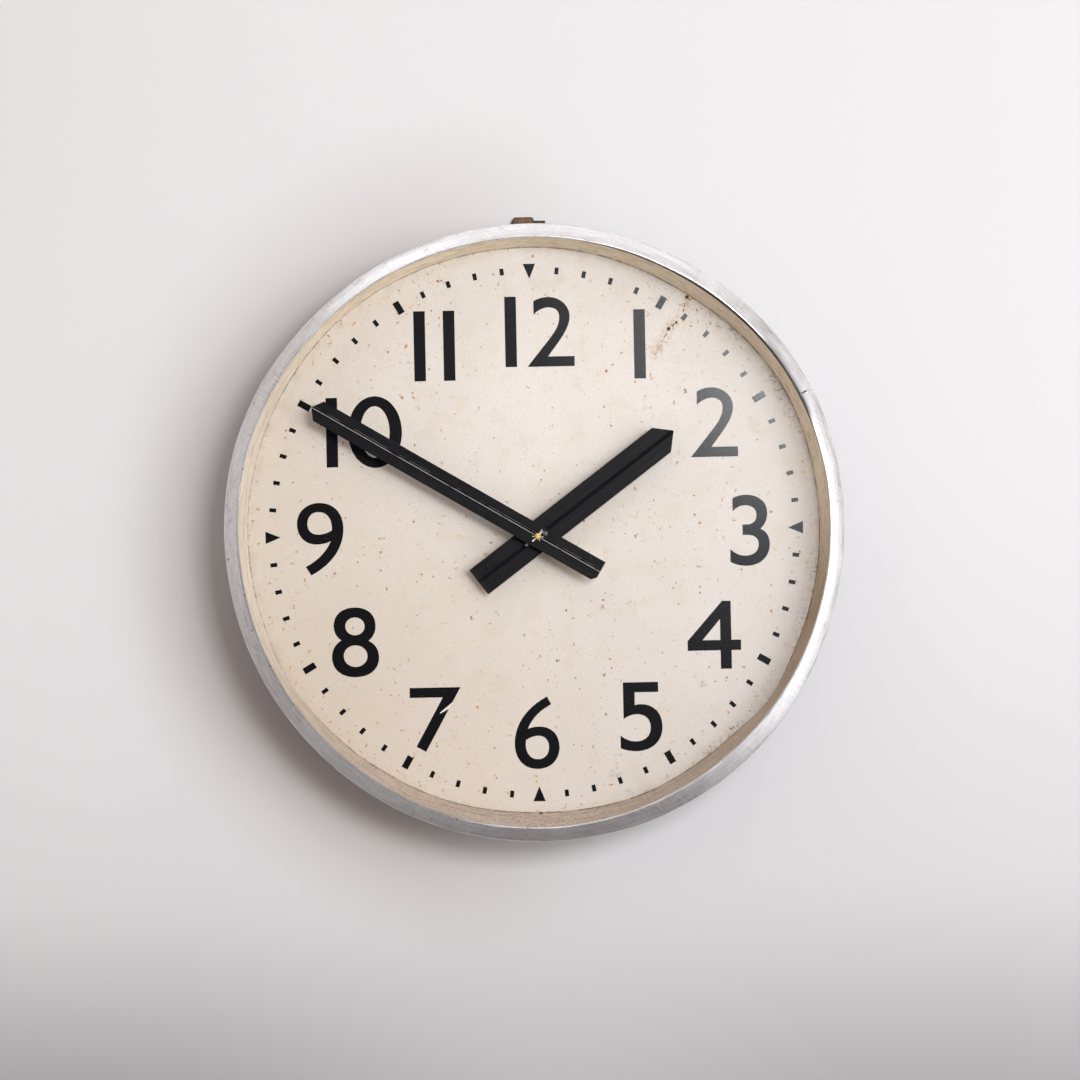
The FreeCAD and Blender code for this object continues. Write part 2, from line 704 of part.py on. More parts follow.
studs = []
nuts = []
nut_high = 3.0
nut_turns = [math.radians(60 * k) for k in range(6)]
nut_corners = [(stud_r * math.cos(a), stud_r * math.sin(a)) for a in nut_turns]
for x, z in stud_places:
    studs.append(joined(rod(x, z, front_plate_front, dial_back, stud_r),
                        rod(x, z, front_plate_at - nut_high - 1, front_plate_front, screw_r - slack)))
    nut = prism([(x + px, z + pz) for px, pz in nut_corners], front_plate_at - nut_high, front_plate_at)
    nuts.append(nut.cut(rod(x, z, front_plate_at - nut_high - 1, front_plate_at + 1, screw_r)))
keep("dial_studs", studs)
keep("stud_nuts", nuts)

bush_in = arbor_r + running
bush_proud = 0.5
keep("front_bush", tube(0, 0, front_plate_at - bush_proud, front_plate_front + bush_proud, bush_out, bush_in))
keep("back_bush", tube(0, 0, back_plate_at - bush_proud, back_plate_front + bush_proud, bush_out, bush_in))


# Wheels with involute teeth
def wheel_outline(teeth, module, first):
    """Outline of a toothed wheel with one tooth centred on the angle first, from +X towards +Z."""
    pressure = math.radians(gear_pressure)
    pitch_r = teeth * module / 2.0
    base_r = pitch_r * math.cos(pressure)
    tip_r = pitch_r + module
    root_r = pitch_r - 1.25 * module
    half_tooth = math.pi / (2 * teeth) - gear_play / (4 * pitch_r)
    at_pitch = math.tan(pressure) - pressure
    low_r = max(base_r, root_r)
    flank = []
    for k in range(5):
        r = low_r + (tip_r - low_r) * k / 4.0
        a = math.acos(min(1.0, base_r / r))
        flank.append((r, half_tooth + at_pitch - (math.tan(a) - a)))
    if root_r < low_r:
        flank.insert(0, (root_r, flank[0][1]))
    points = []
    for k in range(teeth):
        mid = math.radians(first) + 2 * math.pi * k / teeth
        points += [(r * math.cos(mid - s), r * math.sin(mid - s)) for r, s in flank]
        points += [(r * math.cos(mid + s), r * math.sin(mid + s)) for r, s in reversed(flank)]
    return points


def wheel(teeth, module, first, d0, d1):
    """Toothed wheel about the hand axis."""
    return prism(wheel_outline(teeth, module, first), d0, d1)


collet_high = 4.6
cannon_high = minute_hand_depth - collet_high
pipe_high = cannon_high - 0.4
collar_r = arbor_r + 1.2
collar_long = 2.0
collar_gap = 1.0
rear_collar = back_plate_front + collar_gap
front_collar = front_plate_at - collar_gap
tip_high = 4.4
arbor_front = minute_front + tip_high - 1.0

# Centre arbor with its collars, and the wheels that turn with it
arbor = joined(rod(0, 0, back_plate_at - 1.5, arbor_front, arbor_r),
               rod(0, 0, rear_collar, rear_collar + collar_long, collar_r),
               rod(0, 0, front_collar - collar_long, front_collar, collar_r))
keep("centre_arbor", arbor)
ratchet_high = middle - 1.0
ratchet_low = ratchet_high - ratchet_thick
root_r = ratchet_r - ratchet_depth
saw = []
for k in range(ratchet_teeth):
    a = 2 * math.pi * k / ratchet_teeth
    saw.append((ratchet_r * math.sin(a), ratchet_r * math.cos(a)))
    saw.append((root_r * math.sin(a + 0.002), root_r * math.cos(a + 0.002)))
boss_r = arbor_r + 4.0
ratchet = joined(prism(saw, ratchet_low, ratchet_high), rod(0, 0, middle - 6, middle + 3, boss_r))
windows = around(rod(0, ratchet_r * 0.6, ratchet_low - 1, ratchet_high + 1, ratchet_r * 0.22), 4, 45)
ratchet = cut_all(ratchet, windows + [rod(0, 0, middle - 9, middle + 9, arbor_r)])
keep("ratchet_wheel", ratchet)
cannon = joined(wheel(cannon_teeth, gear_module, 0, cannon_teeth_low, cannon_teeth_high),
                rod(0, 0, cannon_low, cannon_teeth_low, cannon_r + 0.5),
                rod(0, 0, cannon_teeth_high, cannon_high, cannon_r))
keep("cannon_pinion", cannon.cut(rod(0, 0, 0, lip_front, arbor_r)))

# Minute wheel and pinion on their post
step_up = 180.0 + 180.0 / minute_wheel_teeth
post_high = dial_back - 0.55 * motion_clear
clip_high = post_high - 0.2
clip_low = clip_high - 0.6
pinion_high = clip_low - 0.4
idler_hub_r = 6.25 * pinion_module
idler = joined(wheel(minute_wheel_teeth, gear_module, step_up, minute_wheel_low, minute_wheel_high),
               rod(0, 0, minute_wheel_low - 0.5, pinion_low, idler_hub_r),
               wheel(minute_pinion_teeth, pinion_module, 180.0, pinion_low, pinion_high))
idler = idler.cut(rod(0, 0, 0, lip_front, arbor_r + running))
idler.translate(V(gear_apart, 0, 0))
keep("minute_wheel", idler)
keep("wheel_post", joined(rod(gear_apart, 0, front_plate_at, post_high, arbor_r),
                          rod(gear_apart, 0, front_plate_front, minute_wheel_low - 0.7, collar_r)))
keep("post_clip", tube(gear_apart, 0, clip_low, clip_high, arbor_r + 1.6, arbor_r))

# Hour wheel with its pipe, running on the cannon pipe
gap_first = 180.0 / hour_wheel_teeth
pipe_low = cannon_teeth_high + 0.6
hour_wheel = joined(wheel(hour_wheel_teeth, pinion_module, gap_first, hour_wheel_low, hour_wheel_high),
                    rod(0, 0, pipe_low, hub_high, hour_hub_r), rod(0, 0, pipe_low, pipe_high, pipe_r))
keep("hour_wheel", hour_wheel.cut(rod(0, 0, 0, lip_front, pipe_in)))

# Hands: flat sheet with a groove down the middle, a point and a square tail
weight_rivet_side = minute_width / 2.0 - rivet_edge


def rivet_places(tail):
    """The two rivets in the tail of a hand that points to twelve."""
    return [(side * weight_rivet_side, weight_up - tail) for side in (-1, 1)]


def hand(length, tail, width, point, clip, d0, hole):
    """Hand drawn pointing to twelve."""
    w = width / 2.0
    low = [(-w, clip - tail), (clip - w, -tail)] if clip else [(-w, -tail)]
    corners = low + [(w, -tail), (w, length - point), (0, length), (-w, length - point)]
    d1 = d0 + hand_sheet
    foot = -tail - 1
    vee = [V(-groove_width / 2, -d1, foot), V(groove_width / 2, -d1, foot), V(0, groove_depth - d1, foot)]
    groove = Part.Face(Part.makePolygon(vee + vee[:1])).extrude(V(0, 0, length + tail + 2))
    drills = through([(0, 0)], d0, d1, hole) + through(rivet_places(tail), d0, d1, rivet_small)
    return cut_all(prism(corners, d0, d1).cut(groove), drills)


def weight(tail, width, d0, d1):
    """Balance weight behind a tail, with its two rivet holes."""
    z = weight_up - tail
    body = block(-width / 2, width / 2, d0, d1, z - weight_half, z + weight_half)
    return cut_all(body, through(rivet_places(tail), d0, d1, rivet_small))


def weight_rivets(tail, d0, d1):
    """Two flush rivets through a weight and its hand."""
    return [joined(rod(x, z, d0, d1 + 0.01, rivet_small - rivet_slack),
                   rod(x, z, d1, d1 + rivet_proud, rivet_small + rivet_lip)) for x, z in rivet_places(tail)]


hour_weight_low = hour_hand_depth - weight_thick
minute_weight_low = minute_hand_depth - 1.1 * weight_thick
hour_hand = hand(hour_length, hour_tail, hour_width, hour_point, 0, hour_hand_depth, swage_r)
hour_weight = weight(hour_tail, hour_width - 5.0 * weight_edge, hour_weight_low, hour_hand_depth)
keep("hour_hand", at_angle(hour_hand, hour_at))
keep("hour_weight", at_angle(hour_weight, hour_at))
keep("hour_rivets", [at_angle(r, hour_at) for r in weight_rivets(hour_tail, hour_weight_low, hour_front)])
hour_collet = joined(rod(0, 0, hour_hand_depth - 5, hour_hand_depth, swage_r + 5.0),
                     rod(0, 0, hour_hand_depth, hour_front, swage_r),
                     rod(0, 0, hour_front, hour_front + 0.7, swage_r + 1.5))
keep("hour_collet", hour_collet.cut(rod(0, 0, 0, lip_front, pipe_r)))

minute_hand = hand(minute_length, minute_tail, minute_width, minute_point, minute_clip,
                   minute_hand_depth, arbor_r)
minute_weight = weight(minute_tail, minute_width - 2.0 * weight_edge, minute_weight_low, minute_hand_depth)
keep("minute_hand", at_angle(minute_hand, minute_at))
keep("minute_weight", at_angle(minute_weight, minute_at))
keep("minute_rivets", [at_angle(r, minute_at)
                       for r in weight_rivets(minute_tail, minute_weight_low, minute_front)])
keep("minute_collet", tube(0, 0, cannon_high, minute_hand_depth, cannon_r + 4.0, arbor_r))
nut_r = arbor_r + 1.2
nut_side = minute_front + 0.6 * tip_high
tip = joined(rod(0, 0, minute_front, nut_side, nut_r),
             cone(0, 0, nut_side, minute_front + tip_high, nut_r, 0.44 * nut_r))
keep("hand_nut", tip.cut(rod(0, 0, 0, arbor_front, arbor_r)))

# Electromagnet: two coils on iron cores joined by a yoke
flange = 1.2
former_r = core_r + 1.0
core_foot_r = core_r - 1.0


def upright_rod(x, z0, z1, r):
    """Cylinder standing up in the middle of the movement."""
    return Part.makeCylinder(r, z1 - z0, V(x, -middle, z0), V(0, 0, 1))


cores = []
bobbins = []
windings = []
for x in coils:
    cores.append(joined(upright_rod(x, yoke_top, core_top, core_r),
                        upright_rod(x, yoke_low, yoke_top, core_foot_r)))
    former = joined(upright_rod(x, bobbin_low, bobbin_high, former_r),
                    upright_rod(x, bobbin_low, bobbin_low + flange, coil_r),
                    upright_rod(x, bobbin_high - flange, bobbin_high, coil_r))
    bobbins.append(former.cut(upright_rod(x, bobbin_low - 1, bobbin_high + 1, core_r)))
    wound = upright_rod(x, bobbin_low + flange, bobbin_high - flange, coil_r - 0.5)
    windings.append(wound.cut(upright_rod(x, bobbin_low, bobbin_high, former_r)))
keep("magnet_cores", cores)
keep("coil_bobbins", bobbins)
keep("coil_windings", windings)
yoke_end = coil_x + 2.0 * core_r
yoke = block(-yoke_end, yoke_end, back_plate_front, middle + 1.5 * core_r, yoke_low, yoke_top)
yoke_past = 8.0
yoke_holes = [upright_rod(x, yoke_low - 1, yoke_top + 1, core_foot_r) for x in coils]
yoke_holes += through(yoke_screw_places, back_plate_front, back_plate_front + yoke_past, small_r)
keep("magnet_yoke", cut_all(yoke, yoke_holes))
keep("yoke_screws", [plate_screw(x, z, back_plate_at, 1, plate + yoke_past) for x, z in yoke_screw_places])

# Armature rocking on a pin, with the arm that carries the driving pawl
arm_x1 = -ratchet_r - 3.5
arm_x0 = arm_x1 - 4.0
pawl_x = (arm_x0 + arm_x1) / 2.0
pawl_z = 2.0
pawl_pin_r = 1.2
pawl_low = ratchet_low - 0.6
pawl_high = ratchet_high + 0.8
arm_low = pawl_high + 0.2
arm_high = arm_low + 3.0
tail_x = armature_x + 8.0
bar_half = 5.0
armature_top = armature_low + armature_thick
armature = joined(block(arm_x0, tail_x, middle - bar_half, middle + bar_half, armature_low, armature_top),
                  block(arm_x0, arm_x1, arm_low, arm_high, armature_low, pawl_z),
                  rod(pawl_x, pawl_z, arm_low, arm_high, 3.0),
                  rod(armature_x, armature_z, back_plate_front + 2, front_plate_at - 2, pin_r + 2.5))
armature = cut_all(armature, [rod(armature_x, armature_z, 0, lip_front, pin_r + running),
                              rod(pawl_x, pawl_z, 0, lip_front, pawl_pin_r)])
keep("armature", armature)
keep("armature_pin", rod(armature_x, armature_z, back_plate_at, front_plate_front, pin_r))
keep("pawl_pin", joined(rod(pawl_x, pawl_z, pawl_low - 0.3, arm_high, pawl_pin_r),
                        rod(pawl_x, pawl_z, pawl_low - 1.1, pawl_low - 0.3, pawl_pin_r + 0.8)))


def finger(x, z, tip_turn, r, hole):
    """Tapered finger from an eye to a blunt tip that stands just clear of the ratchet teeth."""
    blunt = 0.5
    reach = ratchet_r + pawl_clear + blunt + 0.1
    tip_x = reach * math.sin(math.radians(tip_turn))
    tip_z = reach * math.cos(math.radians(tip_turn))
    long = math.hypot(tip_x - x, tip_z - z)
    ux = (tip_x - x) / long
    uz = (tip_z - z) / long
    corners = [(x - uz * r, z + ux * r), (x + uz * r, z - ux * r),
               (tip_x + uz * blunt, tip_z - ux * blunt), (tip_x - uz * blunt, tip_z + ux * blunt)]
    body = joined(prism(corners, pawl_low, pawl_high), rod(x, z, pawl_low, pawl_high, r))
    return body.cut(rod(x, z, pawl_low - 1, pawl_high + 1, hole))


keep("drive_pawl", finger(pawl_x, pawl_z, -69.0, 2.6, pawl_pin_r + running))
keep("backstop_click", finger(click_x, click_z, -4.0, 3.0, pin_r + running))
keep("click_post", joined(rod(click_x, click_z, back_plate_at, pawl_high + 0.4, pin_r),
                          rod(click_x, click_z, back_plate_front, pawl_low - 0.3, pin_r + 1.5),
                          rod(click_x, click_z, pawl_high + 0.3, pawl_high + 1.1, pin_r + 0.9)))

# Return spring: a leaf over the armature's tail, clamped on a block
leaf_low = armature_top + 0.35
leaf_screw_r = 1.2
leaf_end = tail_x - 2.8
leaf_half = 3.0
spring_block = block(spring_x0, spring_x1, back_plate_front, middle + bar_half, leaf_low - 11, leaf_low)
block_hole = rod(spring_mid, block_screw_z, back_plate_front - 1, back_plate_front + small_past + 1, small_r)
leaf_hole = upright_rod(spring_mid, leaf_low - 6, leaf_low + 6, leaf_screw_r)
keep("spring_block", spring_block.cut(block_hole).cut(leaf_hole))
spring = block(leaf_end, spring_x1, middle - leaf_half, middle + leaf_half, leaf_low, leaf_low + leaf)
keep("armature_spring", spring.cut(leaf_hole))
leaf_top = leaf_low + leaf
keep("spring_screw", joined(upright_rod(spring_mid, leaf_low - 5, leaf_top, leaf_screw_r - slack),
                            upright_rod(spring_mid, leaf_top, leaf_top + 1.6, leaf_screw_r + 1.1)))
keep("block_screw", plate_screw(spring_mid, block_screw_z, back_plate_at, 1, plate + small_past))

# Terminal block on the back of the movement, and the leads from the coils to it
terminal_low = back_plate_at - terminal_thick
terminal_places = [(-terminal_apart, terminal_mid), (terminal_apart, terminal_mid)]
terminal_head = 1.8
fixing_seat = back_plate_at - 3.0
terminal = block(-terminal_half, terminal_half, terminal_low, back_plate_at, terminal_z0, terminal_z1)
terminal_holes = [rod(x, z, terminal_low - 1, back_plate_at - 2, small_r) for x, z in terminal_places]
terminal_holes += [rod(0, terminal_mid, terminal_low - 1, back_plate_at + 1, small_r),
                   rod(0, terminal_mid, terminal_low - 1, fixing_seat, small_head_r + 0.3)]
keep("terminal_block", cut_all(terminal, terminal_holes))
keep("terminal_screws", [joined(rod(x, z, terminal_low - terminal_head, terminal_low, small_head_r),
                                rod(x, z, terminal_low, back_plate_at - 3, small_r - slack))
                         for x, z in terminal_places])
keep("terminal_fixing", joined(rod(0, terminal_mid, fixing_seat - small_head, fixing_seat, small_head_r),
                               rod(0, terminal_mid, fixing_seat, back_plate_front, small_r - slack)))
lead_start = middle - coil_r + 0.5
lead_d = back_plate_at - 3.5
corner = lead_bend * (1 - math.sqrt(0.5))
leads = []
for x in coils:
    start = V(x, -lead_start, lead_z)
    bend_start = V(x, -lead_d - lead_bend, lead_z)
    bend_middle = V(x, -lead_d - corner, lead_z + corner)
    bend_end = V(x, -lead_d, lead_z + lead_bend)
    end = V(x, -lead_d, terminal_z0)
    route = Part.Wire([Part.makeLine(start, bend_start),
                       Part.Arc(bend_start, bend_middle, bend_end).toShape(),
                       Part.makeLine(bend_end, end)])
    ring = Part.Wire(Part.makeCircle(lead_r, start, V(0, 1, 0)))
    leads.append(route.makePipeShell([ring], True, False))
keep("coil_leads", leads)
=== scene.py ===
import json
import math

import bpy
import numpy as np
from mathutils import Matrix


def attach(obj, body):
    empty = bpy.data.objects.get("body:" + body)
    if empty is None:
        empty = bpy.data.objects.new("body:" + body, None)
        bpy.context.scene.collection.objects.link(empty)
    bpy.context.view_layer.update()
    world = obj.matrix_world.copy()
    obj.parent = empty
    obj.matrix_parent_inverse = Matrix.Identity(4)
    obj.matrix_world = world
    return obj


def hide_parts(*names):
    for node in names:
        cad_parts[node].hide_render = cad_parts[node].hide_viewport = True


# Looks of a wall-hung station clock: worn aluminium bezel, fibre strip, aged cream dial, black hands.
# Metres, in the frame of the CAD model: X to the right, Z up, the dial faces -Y.
# Angles round the dial are clockwise from twelve.

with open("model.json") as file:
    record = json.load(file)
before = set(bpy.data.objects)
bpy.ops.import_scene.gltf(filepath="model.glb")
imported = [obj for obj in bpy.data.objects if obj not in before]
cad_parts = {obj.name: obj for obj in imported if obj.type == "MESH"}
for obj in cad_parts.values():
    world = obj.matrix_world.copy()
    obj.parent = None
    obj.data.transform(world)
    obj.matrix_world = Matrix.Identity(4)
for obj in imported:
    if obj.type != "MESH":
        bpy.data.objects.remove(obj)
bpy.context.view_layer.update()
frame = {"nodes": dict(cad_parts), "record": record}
nodes = frame["nodes"]
MM = 0.001

# Places and sizes that the solids have too
DIAL_FRONT = 55.0
STRIP_TOP = 89.6
JOINT_AT = 63.6
ARBOR = (3.7, -4.3)
MINUTE_AT = 300.85
HOUR_AT = 53.2
TAB_LEFT = -17.0
TAB_RIGHT = 6.0
TAB_TOP = 346.0

# Camera: looking straight at the dial from 2.5 m, a little below and to the right of its middle
CAMERA_AT = (5.96 * MM, -2.555, -8.18 * MM)
CAMERA_ROLL = 1.15
HALF_FIELD = 0.58 / 2.5
SENSOR = 36.0


class Wire:
    """One socket of a shader tree. Arithmetic on it adds Math nodes, and node() adds any other kind."""

    def __init__(self, tree, socket=None):
        self.tree = tree
        self.socket = socket

    def node(self, kind, settings=(), inputs=(), output=0):
        """Add a node: its settings first, then a value or a link for each of its sockets."""
        made = self.tree.nodes.new("ShaderNode" + kind)
        for key, value in dict(settings).items():
            setattr(made, key, value)
        for key, value in dict(inputs).items():
            if isinstance(value, Wire):
                self.tree.links.new(value.socket, made.inputs[key])
            else:
                made.inputs[key].default_value = value
        return Wire(self.tree, made.outputs[output] if made.outputs else None)

    def math(self, operation, *values):
        """Math node on this value and others."""
        return self.node("Math", {"operation": operation}, dict(enumerate((self,) + values)))

    def __add__(self, other):
        return self.math("ADD", other)

    def __sub__(self, other):
        return self.math("SUBTRACT", other)

    def __mul__(self, other):
        return self.math("MULTIPLY", other)

    def __truediv__(self, other):
        return self.math("DIVIDE", other)

    def __rsub__(self, other):
        return self.node("Math", {"operation": "SUBTRACT"}, {0: other, 1: self})

    __radd__ = __add__
    __rmul__ = __mul__

    def least(self, other):
        """The smaller of two values."""
        return self.math("MINIMUM", other)

    def most(self, other):
        """The larger of two values."""
        return self.math("MAXIMUM", other)

    def rise(self, low, high):
        """0 below low, 1 above high and a smooth step between; low above high turns it round."""
        return self.node("MapRange", {"interpolation_type": "SMOOTHSTEP"}, {0: self, 1: low, 2: high})

    def colour(self, low, high):
        """Colour that runs from low to high as this value runs from 0 to 1."""
        return self.node("Mix", {"data_type": "RGBA"}, {0: self, 6: low, 7: high}, 2)

    def noise(self, scale, detail=2.0, rough=0.5):
        """Cloudy value between 0 and 1 at this place."""
        inputs = {"Vector": self, "Scale": scale, "Detail": detail, "Roughness": rough}
        return self.node("TexNoise", {}, inputs)

    def cells(self, scale, output=0):
        """Distance to the nearest of many scattered points, or the random colour of that point."""
        return self.node("TexVoronoi", {}, {"Vector": self, "Scale": scale}, output)

    def axes(self):
        """The three numbers of a place."""
        return [self.node("SeparateXYZ", {}, {0: self}, k) for k in range(3)]

    def place(self, x, y, z):
        """A place from three numbers."""
        return self.node("CombineXYZ", {}, {0: x, 1: y, 2: z})

    def specks(self, scale, size, share):
        """Ragged specks of mixed size, in a share of the cells of a scatter."""
        chance = self.cells(scale, 1).axes()
        ragged = self.noise(scale * 12.0, 2.0) * 1.5 * size
        reach = chance[0] * chance[0] * size + ragged - 0.55 * size
        return (reach - self.cells(scale)).rise(0.0, 0.14 * size) * chance[1].rise(1.0 - share, 1.01 - share)


def rgb(red, green, blue):
    """Colour as it is read off a screen, 0 to 255, made linear."""
    parts = np.array([red, green, blue]) / 255.0
    linear = np.where(parts < 0.04045, parts / 12.92, ((parts + 0.055) / 1.055) ** 2.4)
    return (*linear.tolist(), 1.0)


def blank(name):
    """New material with an empty tree, and the place of a point in the tree."""
    material = bpy.data.materials.new(name)
    material.use_nodes = True
    material.node_tree.nodes.clear()
    return material, Wire(material.node_tree).node("TexCoord", {}, {}, 3)


def finish(name, build, **fixed):
    """Material from a function that gives what varies; fixed numbers go on the shader's own sockets."""
    material, where = blank(name)
    inputs = build(where)
    height = inputs.pop("height", None)
    if height is not None:
        depth = inputs.pop("depth")
        inputs["Normal"] = where.node("Bump", {}, {"Strength": 1.0, "Distance": depth, "Height": height})
    for key, value in fixed.items():
        inputs[key.replace("_", " ")] = value
    shader = where.node("BsdfPrincipled", {}, inputs)
    where.node("OutputMaterial", {}, {"Surface": shader})
    return material


def length(x, z):
    """Length of a step that goes x to the side and z up."""
    return (x * x + z * z).math("SQRT")


def segment(x, z, start, end):
    """Distance from a place on the dial to a straight line between two points in millimetres."""
    ax, az = start[0] * MM, start[1] * MM
    dx, dz = end[0] * MM - ax, end[1] * MM - az
    long = dx * dx + dz * dz
    along = (((x - ax) * dx + (z - az) * dz) / long).least(1.0).most(0.0)
    return length(x - ax - along * dx, z - az - along * dz)


def patch(x, z, centre, size):
    """1 at a point on the dial in millimetres, falling to 0 at a distance."""
    return length(x - centre[0] * MM, z - centre[1] * MM).rise(size * MM, 0.0)


def patches(x, z, places):
    """Sum of several patches, each given as a point, a size and a strength."""
    shown = 0.0
    for centre, size, strength in places:
        shown = patch(x, z, centre, size) * strength + shown
    return shown


def round_the_dial(where, turns, across_scale, lean=0.5):
    """Place for streaks that follow the rim: long round it and fine across it."""
    x, y, z = where.axes()
    radius = length(x, z)
    return where.place(x / radius * turns, z / radius * turns, (radius - y * lean) * across_scale)


def hatching(where, turn, long, fine):
    """Straight hand strokes at an angle to the upright: long one way and fine the other."""
    x, y, z = where.axes()
    side, ahead = math.cos(math.radians(turn)), math.sin(math.radians(turn))
    along = x * ahead + z * side
    across = x * side - z * ahead
    return where.place(along * long, y * long, across * fine).noise(1.0, 3.0, 0.6)


# Finishes seen from the front

# Marks on the bezel, in millimetres: where its face begins, a rubbed place, and the place by the joint where
# shade is painted on
FACE_FROM = 84.0
FACE_FULL = 87.5
RUBBED_AT = (-236.0, -217.0)
RUBBED_SIZE = 30.0
JOINT_SHADE_AT = (275.0, 158.0)
JOINT_SHADE_SIZE = 80.0
JOINT_LINE = ((286.4, 141.8), (296.4, 147.2))


def bezel_aluminium(where):
    """Worn satin aluminium: brushing round the rim, hand strokes on its face, oxide, nicks, painted shade on
    the lip, by the joint and in its slit.
    """
    along = round_the_dial(where, 12.0, 1900.0)
    x, y, z = where.axes()
    radius = length(x, z)
    front = (y * -1.0).rise(FACE_FROM * MM, FACE_FULL * MM)
    lip = where.node("Attribute", {"attribute_name": "lip"}, {}, 2)
    brushed = along.noise(1.0, 4.0, 0.6)
    cloud = where.noise(22.0, 4.0, 0.6)
    clouded = cloud.rise(0.42, 0.60)
    left = x.rise(0.05, -0.20)
    strokes = hatching(where, 38.0, 45.0, 1500.0)
    strokes = clouded.colour(hatching(where, -52.0, 45.0, 1300.0), strokes).axes()[0]
    grain = front.colour(brushed, brushed * 0.55 + strokes * 0.45).axes()[0]
    tone = grain.rise(0.39, 0.61)
    rubbed = patch(x, z, RUBBED_AT, RUBBED_SIZE) * where.noise(260.0, 4.0, 0.7).rise(0.40, 0.58)
    scratches = (strokes.rise(0.60, 0.70) * front * (0.45 + 0.55 * left)).most(rubbed)
    oxide = where.noise(70.0, 6.0, 0.75).rise(0.56, 0.70) * (0.30 + 0.70 * left)
    nicks = where.specks(160.0, 0.20, 0.14) * (0.3 + 0.7 * left)
    metal = tone.colour((0.63, 0.63, 0.65, 1), (0.88, 0.88, 0.895, 1))
    metal = (scratches * 0.5).colour(metal, (0.95, 0.95, 0.96, 1))
    metal = (oxide * 0.55).colour(metal, (0.42, 0.42, 0.44, 1))
    metal = (nicks * 0.7).colour(metal, (0.20, 0.19, 0.19, 1))
    # Painted shade: by the joint the face is darker towards the lip, for its darker reflection there
    by_joint = patch(x, z, JOINT_SHADE_AT, JOINT_SHADE_SIZE).rise(0.0, 0.7)
    dull = radius.rise(0.326, 0.3175) * by_joint
    metal = (dull * 0.65).colour(metal, (0.24, 0.25, 0.28, 1))
    # Painted shade on the lip: the shadow of the gap behind the strip at the upper right, and darkening that
    # dims the lip's highlight at the lower left and by the joint
    gap_shadow = lip.rise(0.68, 0.90) * z.rise(0.10, 0.15) * x.rise(0.02, 0.10) * 0.8
    dust_and_shade = lip.rise(0.10, 0.50) * x.rise(-0.02, -0.10) * z.rise(0.08, -0.04) * 0.55
    # Painted shadow: a dark line along the joint's slit, from the middle of the face outward
    joint = segment(x, z, *JOINT_LINE).rise(1.15 * MM, 0.60 * MM)
    joint_lip_shade = lip.rise(0.0, 0.30) * by_joint * 0.7
    painted_shade = gap_shadow.most(dust_and_shade).most(joint_lip_shade).most(joint * 0.96)
    rough = 0.27 + 0.10 * tone + 0.08 * clouded + 0.14 * oxide + 0.3 * painted_shade
    return {"Base Color": painted_shade.colour(metal, (0.07, 0.06, 0.055, 1)), "Roughness": rough,
            "height": grain * 0.9 - nicks * 1.5 + cloud * 0.9, "depth": 0.05 * MM}


# Marks on the dial, in millimetres: a crack from point to point, and spots with point, size and strength
CRACK = ((169.0, 249.5), (162.2, 227.2), (148.7, 216.0), (134.0, 188.5))
CHIPS = (((169.0, 249.5), 3.6, 1.0), ((157.0, 222.4), 2.6, 1.0), ((148.7, 216.0), 3.6, 1.0))
SCUFFS = (((81.0, -262.0), 9.0, 0.8), ((178.0, -167.0), 6.0, 1.0), ((96.0, -281.0), 8.0, 0.5))
RUSTIER_AT = (150.0, 230.0)
RUSTIER_SIZE = 130.0


